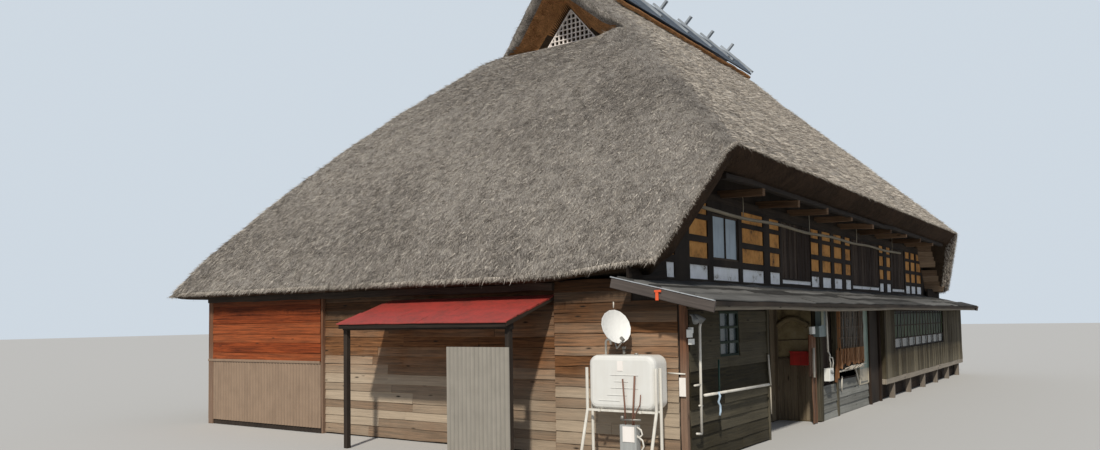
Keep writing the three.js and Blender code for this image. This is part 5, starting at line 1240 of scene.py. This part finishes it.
boarding("middle_boards", [((-0.38, DARK_Y, DARK_FOOT), UP, EAST, DARK_HEIGHT, 0.80, 0.15, WHOLE_BOARD)],
         SOUTH, 0.02, dark_board, 105)

# The long east bay: vertical boards that stand out from the wall, a band of glass behind thin bars, a
# pale sill at the foot of the boards and short legs under it.
bay_wood = wood("bay_wood", "brown_boards", (34, 29, 20), (84, 74, 54), (116, 108, 90), 0.2,
                fade=((0.55, 0.65), (0.95, 0.15)))
boards_low, boards_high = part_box("east_bay_wall")
glass_low, glass_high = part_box("east_bay_glass")
BAY_BOARD, BAY_LENGTH, MID_RAIL = 0.15, 1.74, 1.47
bay_face_y = boards_low[1] - 0.010
boarding("east_bay_boards", [((boards_low[0], bay_face_y, boards_low[2]), UP, EAST, BAY_LENGTH,
                              glass_low[0] - boards_low[0], BAY_BOARD, WHOLE_BOARD),
                             ((glass_high[0], bay_face_y, boards_low[2]), UP, EAST, BAY_LENGTH,
                              boards_high[0] - glass_high[0], BAY_BOARD, WHOLE_BOARD),
                             ((glass_low[0], bay_face_y, boards_low[2]), UP, EAST,
                              glass_low[2] - boards_low[2], glass_high[0] - glass_low[0], BAY_BOARD,
                              WHOLE_BOARD)], SOUTH, FLUSH_THICK, bay_wood, 110, lap=-0.004)
boarding("east_bay_end_boards", [((boards_low[0] - 0.010, boards_high[1], boards_low[2]), UP, SOUTH, 1.78,
                                  boards_high[1] - boards_low[1], 0.12, WHOLE_BOARD)], WEST, FLUSH_THICK,
         bay_wood, 113, lap=-0.004)
dress(dark_timber, "east_bay_wall")
clear_pane = coated("clear_pane", "glass", (58, 76, 42), (20, 30, 16), 0.9, 0.3)
clear_pane.node_tree.nodes["Principled BSDF"].inputs["Specular IOR Level"].default_value = 0.1
bay_frosted = coated("bay_frosted", "glass", (62, 70, 70), (38, 44, 44), 0.6, 0.25)
bars = lattice_window("east_bay_high", (glass_low[0], 0, MID_RAIL), (glass_high[0], 0, glass_high[2]),
                      bay_face_y + 0.01, np.linspace(0, 1, 18), (MID_RAIL, 1.79, glass_high[2] - 0.04), 0.028,
                      clear_pane, dark_sticks, 114)
lattice_window("east_bay_low", (glass_low[0], 0, glass_low[2]), (glass_high[0], 0, MID_RAIL),
               bay_face_y + 0.01, np.linspace(0, 1, 9), (glass_low[2] + 0.02,), 0.03, bay_frosted,
               dark_sticks, 116)
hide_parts("east_bay_glass")
sill_wood = wood("sill_wood", "grey_wood", (88, 78, 66), (146, 132, 114), (156, 148, 136), 0.5)
sill_low, sill_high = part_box("east_bay_sill")
dress(wood("leg_wood", "brown_boards", (70, 60, 50), (120, 106, 92), (140, 132, 122), 0.5, along="X"),
      "east_bay_sill")
timbers("east_bay_sill_boards", [(sill_low[0], sill_low[1] - 0.008, 0.455),
                                 (sill_low[0] - 0.008, sill_low[1], 0.455)],
        [(sill_high[0], sill_low[1] - 0.008, 0.455), (sill_low[0] - 0.008, sill_high[1], 0.455)],
        [SOUTH, WEST], 0.13, 0.022, sill_wood, 118, wave=0.003, steps=16)
boarding("crawl_boards", [((0.9, DARK_Y, DARK_FOOT), EAST, UP, 9.9, 0.36, 0.18, WHOLE_BOARD)], (0, -1, 0.05),
         0.02, dark_board, 119)

# The gablets and the ridge: silvered lattices deep in their hoods, a folded slate-grey sheet over the
# ridge, and a long pole held down by seven pairs of crossed boards.
lattice_wood = wood("lattice_wood", "grey_wood", (214, 198, 188), (255, 246, 238), (250, 244, 238), 0.6,
                    along="Z")
dress(lattice_wood, "west_gable_lattice", "east_gable_lattice")

cover_low, cover_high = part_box("ridge_cover")
slate_sheet = coated("slate_sheet", "ridge_metal", (34, 42, 50), (62, 70, 76), 0.6, 0.4, 0.2)
dress(slate_sheet, "ridge_cover")
cross_wood = wood("cross_wood", "grey_wood", (84, 90, 96), (156, 164, 170), (170, 176, 182), 0.6, along="Y")
dress(cross_wood, "ridge_pole_and_crosses")
CROSSES, CROSS_PITCH, STRIP_REACH = 7, 1.59, 4.2
COVER_TOP, COVER_FOOT = np.array((0.12, 10.672)), np.array((0.97, 9.835))
cross_x = RIDGE_X + (np.arange(CROSSES) - (CROSSES - 1) / 2) * CROSS_PITCH
sheet_slope = (COVER_FOOT - COVER_TOP) / np.linalg.norm(COVER_FOOT - COVER_TOP)
pale_sheet = coated("pale_sheet", "ridge_metal", (96, 108, 122), (64, 74, 84), 0.5, 0.4, 0.2)
strip_x = np.concatenate([cross_x - 0.16, cross_x + 0.16])
half_x = np.clip(np.abs(strip_x - RIDGE_X), 0, STRIP_REACH) * np.sign(strip_x - RIDGE_X) + RIDGE_X
for number, (side, way) in enumerate((("front", -1), ("back", 1))):
    normal = np.array((0, way * -sheet_slope[1], abs(sheet_slope[0])))
    top = np.stack([strip_x, 0 * strip_x + RIDGE_Y + way * COVER_TOP[0], 0 * strip_x + COVER_TOP[1]], axis=1)
    low = np.stack([half_x, 0 * strip_x + RIDGE_Y + way * COVER_FOOT[0], 0 * strip_x + COVER_FOOT[1]], axis=1)
    timbers("ridge_strips_" + side, top, low, normal, 0.05, 0.02, pale_sheet, 120 + number, wave=0.001)
    hem = [(x, RIDGE_Y + way * 0.975, 9.80) for x in (cover_low[0] + 0.85, cover_high[0] - 0.85)]
    timbers("ridge_hem_" + side, *hem, normal, 0.07, 0.02, pale_sheet, 122 + number, wave=0.004, steps=20)
    band = [(x, RIDGE_Y + way * 0.93, 9.68) for x in (RIDGE_X - 4.22, RIDGE_X + 4.22)]
    timbers("ridge_straw_" + side, *band, (0, way, 0.9), 0.13, 0.09, HOOD_REED, 124 + number, wave=0.006,
            steps=30)

# The back and the east end, boarded like the west side, with windows like the small one of the front.
back_low, back_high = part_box("back_wall")
windows = [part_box("back_window_%d" % number) for number in (1, 2, 3)]
edges = [back_low[0], *[corner[0] for window in windows for corner in window], back_high[0]]
BACK_TOP, BACK_BOARD, BACK_PIECE = 2.62, 0.19, 3.4
back_y = back_high[1] + WALL_PROUD
back_fields = [((edges[number + 1], back_y, BOARD_FOOT), WEST, UP, edges[number + 1] - edges[number],
                BACK_TOP, BACK_BOARD, BACK_PIECE) for number in (0, 2, 4, 6)]
for low, high in windows:
    back_fields.append(((high[0], back_y, BOARD_FOOT), WEST, UP, high[0] - low[0], low[2] - 0.05, BACK_BOARD,
                        BACK_PIECE))
    back_fields.append(((high[0], back_y, high[2] + 0.02), WEST, UP, high[0] - low[0], BACK_TOP - high[2],
                        BACK_BOARD, BACK_PIECE))
boarding("back_boards", back_fields, (0, 1, LAP_LEAN), LAPPED_THICK, west_wood, 130)
for number, (low, high) in enumerate(windows):
    bars = lattice_window("back_window_%d" % (number + 1), low, high, high[1] - 0.012,
                          np.linspace(0.02, 0.98, 5), (low[2] + 0.02, (low[2] + high[2]) / 2, high[2] - 0.02),
                          0.035, frosted, green_paint, 140 + 2 * number)
    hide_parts("back_window_%d" % (number + 1))
east_low, east_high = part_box("east_wall")
east_x = east_high[0] + WALL_PROUD
boarding("east_boards", [((east_x, east_low[1], BOARD_FOOT), NORTH, UP, east_high[1] - east_low[1],
                          12 * BACK_BOARD, BACK_BOARD, BACK_PIECE),
                         ((east_x, BEHIND_LEANTO, BOARD_FOOT + 12 * BACK_BOARD), NORTH, UP,
                          east_high[1] - BEHIND_LEANTO, 0.34, 0.17, BACK_PIECE)], (1, 0, LAP_LEAN),
         LAPPED_THICK, west_wood, 150)
timbers("hip_gap_boards", [(10.1, -5.30, 2.74), (-10.5, -5.28, 2.74)],
        [(11.15, -5.46, 2.74), (-9.2, -5.22, 2.86)], SOUTH, 0.34, 0.04, dark_sticks, 151, wave=0.005)
PLANK_FALL = np.array((1.1, 0.05, -1.45)) / np.linalg.norm((1.1, 0.05, -1.45))
PLANK_RUN, PLANK_OUT, PLANK_WIDTH = (0.64, -0.768, 0), (-0.61, -0.51, -0.6), 0.20
hip_wood = wood("hip_wood", "brown_boards", (66, 52, 40), (140, 114, 90), (150, 130, 108), 0.2)
boarding("east_hip_planks", [
    ((9.20, -5.14, 4.34), PLANK_RUN, PLANK_FALL, 0.98, 0.86, PLANK_WIDTH, WHOLE_BOARD),
    ((9.80, -5.10, 3.54), PLANK_RUN, PLANK_FALL, 0.80, 0.88, PLANK_WIDTH, WHOLE_BOARD)],
    PLANK_OUT, 0.03, hip_wood, 153)
upright("back_corner_posts", [(10.93, 5.10), (10.94, -5.93), (3.6, 5.18), (-3.2, 5.18)], 0,
        (2.66, 2.42, 2.66, 2.66), [EAST, EAST, NORTH, NORTH], 0.14, 0.12, post_wood, 152, wave=0.003)
dress(dark_timber, "back_wall", "east_wall")

# Small things on the front: twin lamps and a sensor under the eave, white water pipes, a green pole, a
# drying pole, the cabinet beside the doorway with its conduit, hoses and a meter box.
lamp_grey = coated("lamp_grey", "grey_sheet", (120, 122, 122), (70, 68, 64), 0.5, 0.4)
lamp_white = coated("lamp_white", "white_enamel", (226, 226, 220), (160, 156, 146), 0.3, 0.35)
PIPE_Y = -6.10
corner_pipes = [
    [(-9.90, -6.12, 2.02), (-9.90, PIPE_Y, 1.95), (-9.91, PIPE_Y, 1.2), (-9.92, PIPE_Y, 0.45)],
    [(-10.12, PIPE_Y, 1.14), (-9.90, PIPE_Y, 1.14)], [(-10.08, PIPE_Y, 0.47), (-9.92, PIPE_Y, 0.45)],
    [(-9.98, PIPE_Y, 0.85), (-9.88, PIPE_Y, 0.84)], [(-10.17, -5.99, 1.30), (-10.17, -5.72, 1.31)]]
tubes("corner_pipe", corner_pipes, (0.020, 0.014, 0.016, 0.014, 0.012), white_pipe, 160)
CONE = (0.012, 0.022, 0.052)
tubes("lamp_cones", [[(-10.08, -6.03, 2.13), (-10.14, -6.11, 2.12), (-10.20, -6.19, 2.03)],
                     [(-10.06, -6.03, 2.13), (-10.02, -6.11, 2.12), (-9.97, -6.19, 2.03)]], (CONE, CONE),
      lamp_grey, 161, sides=14)
upright("sensor_boxes", [(-10.13, -6.05), (-10.10, -6.06), (-10.07, -6.04)], (1.81, 1.71, 1.87),
        (1.92, 1.79, 1.95), SOUTH, (0.09, 0.10, 0.07), 0.06, lamp_white, 162, wave=0)
green_pipe = coated("green_pipe", "pipe", (30, 66, 56), (22, 40, 36), 0.4, 0.45)
tubes("green_pole", [[(-9.20, -6.07, 0.98), (-9.20, -6.07, 1.46)]], 0.014, green_pipe, 163)
tubes("drying_pole", [[(-9.86, -6.13, 0.985), (-8.6, -6.13, 0.97), (-7.30, -6.12, 0.955)]], 0.021, white_pipe,
      164)
tie_blue = coated("cord_blue", "pipe", (176, 196, 212), (120, 140, 160), 0.5, 0.8)
tubes("pole_tie", [[(-9.42, -6.15, 1.00), (-9.41, -6.17, 0.94), (-9.45, -6.16, 0.86), (-9.39, -6.16, 0.80),
                    (-9.41, -6.17, 0.72), (-9.42, -6.16, 0.66)]], 0.016, tie_blue, 165)
cabinet_paint = coated("cabinet_paint", "panel", (112, 126, 126), (72, 80, 76), 0.5, 0.5)
olive_paint = coated("olive_paint", "panel", (126, 128, 104), (72, 72, 54), 0.5, 0.5)
upright("cabinet", [(-4.22, -6.06), (-4.28, -6.05)], (1.86, 1.67), (2.20, 1.88), SOUTH,
        (0.28, 0.46), (0.12, 0.15), cabinet_paint, 166, wave=0)
upright("cabinet_door", (-4.32, -6.13), 1.90, 2.19, SOUTH, 0.14, 0.01, olive_paint, 167, wave=0)
upright("small_box", (-4.72, -6.05), 1.73, 1.87, SOUTH, 0.17, 0.07, lamp_white, 168, wave=0)
conduits = [
    [(-4.12, -6.15, 2.19), (-4.11, -6.15, 1.8), (-4.05, -6.14, 1.36)],
    [(-4.05, -6.14, 1.38), (-4.00, -6.16, 1.30), (-4.04, -6.16, 1.22), (-3.98, -6.16, 1.16),
     (-3.95, -6.15, 1.04)],
    [(-4.02, -6.15, 1.26), (-3.88, -6.17, 1.24), (-3.80, -6.16, 1.14), (-3.82, -6.15, 1.03)]]
tubes("conduit", conduits, (0.018, 0.014, 0.012), white_pipe, 169)
upright("meter_box_front", (-3.98, -6.12), 0.79, 1.04, SOUTH, 0.26, 0.12, lamp_white, 170, wave=0)
tubes("meter_dials", [[(-4.02, -6.18, 0.97), (-4.02, -6.20, 0.97)],
                      [(-3.93, -6.18, 0.94), (-3.93, -6.20, 0.94)]], (0.034, 0.022), lamp_grey, 171, sides=14)
timbers("bay_side_board", (-3.42, -6.10, 0.72), (-3.30, -6.10, 1.36), SOUTH, 0.13, 0.022, orange_wood, 172)
timbers("eave_clip", [(-10.672, -5.835, 2.33), (-10.676, -5.80, 2.455)],
        [(-10.672, -5.835, 2.46), (-10.676, -5.90, 2.455)], WEST, (0.045, 0.03), 0.02,
        coated("clip_orange", "red_metal", (222, 88, 44), (160, 60, 36), 0.3, 0.5), 173, wave=0)
tubes("east_pipe", [[(11.28, -6.0, 1.29), (11.28, -6.0, 1.84)]], 0.022, white_pipe, 174)
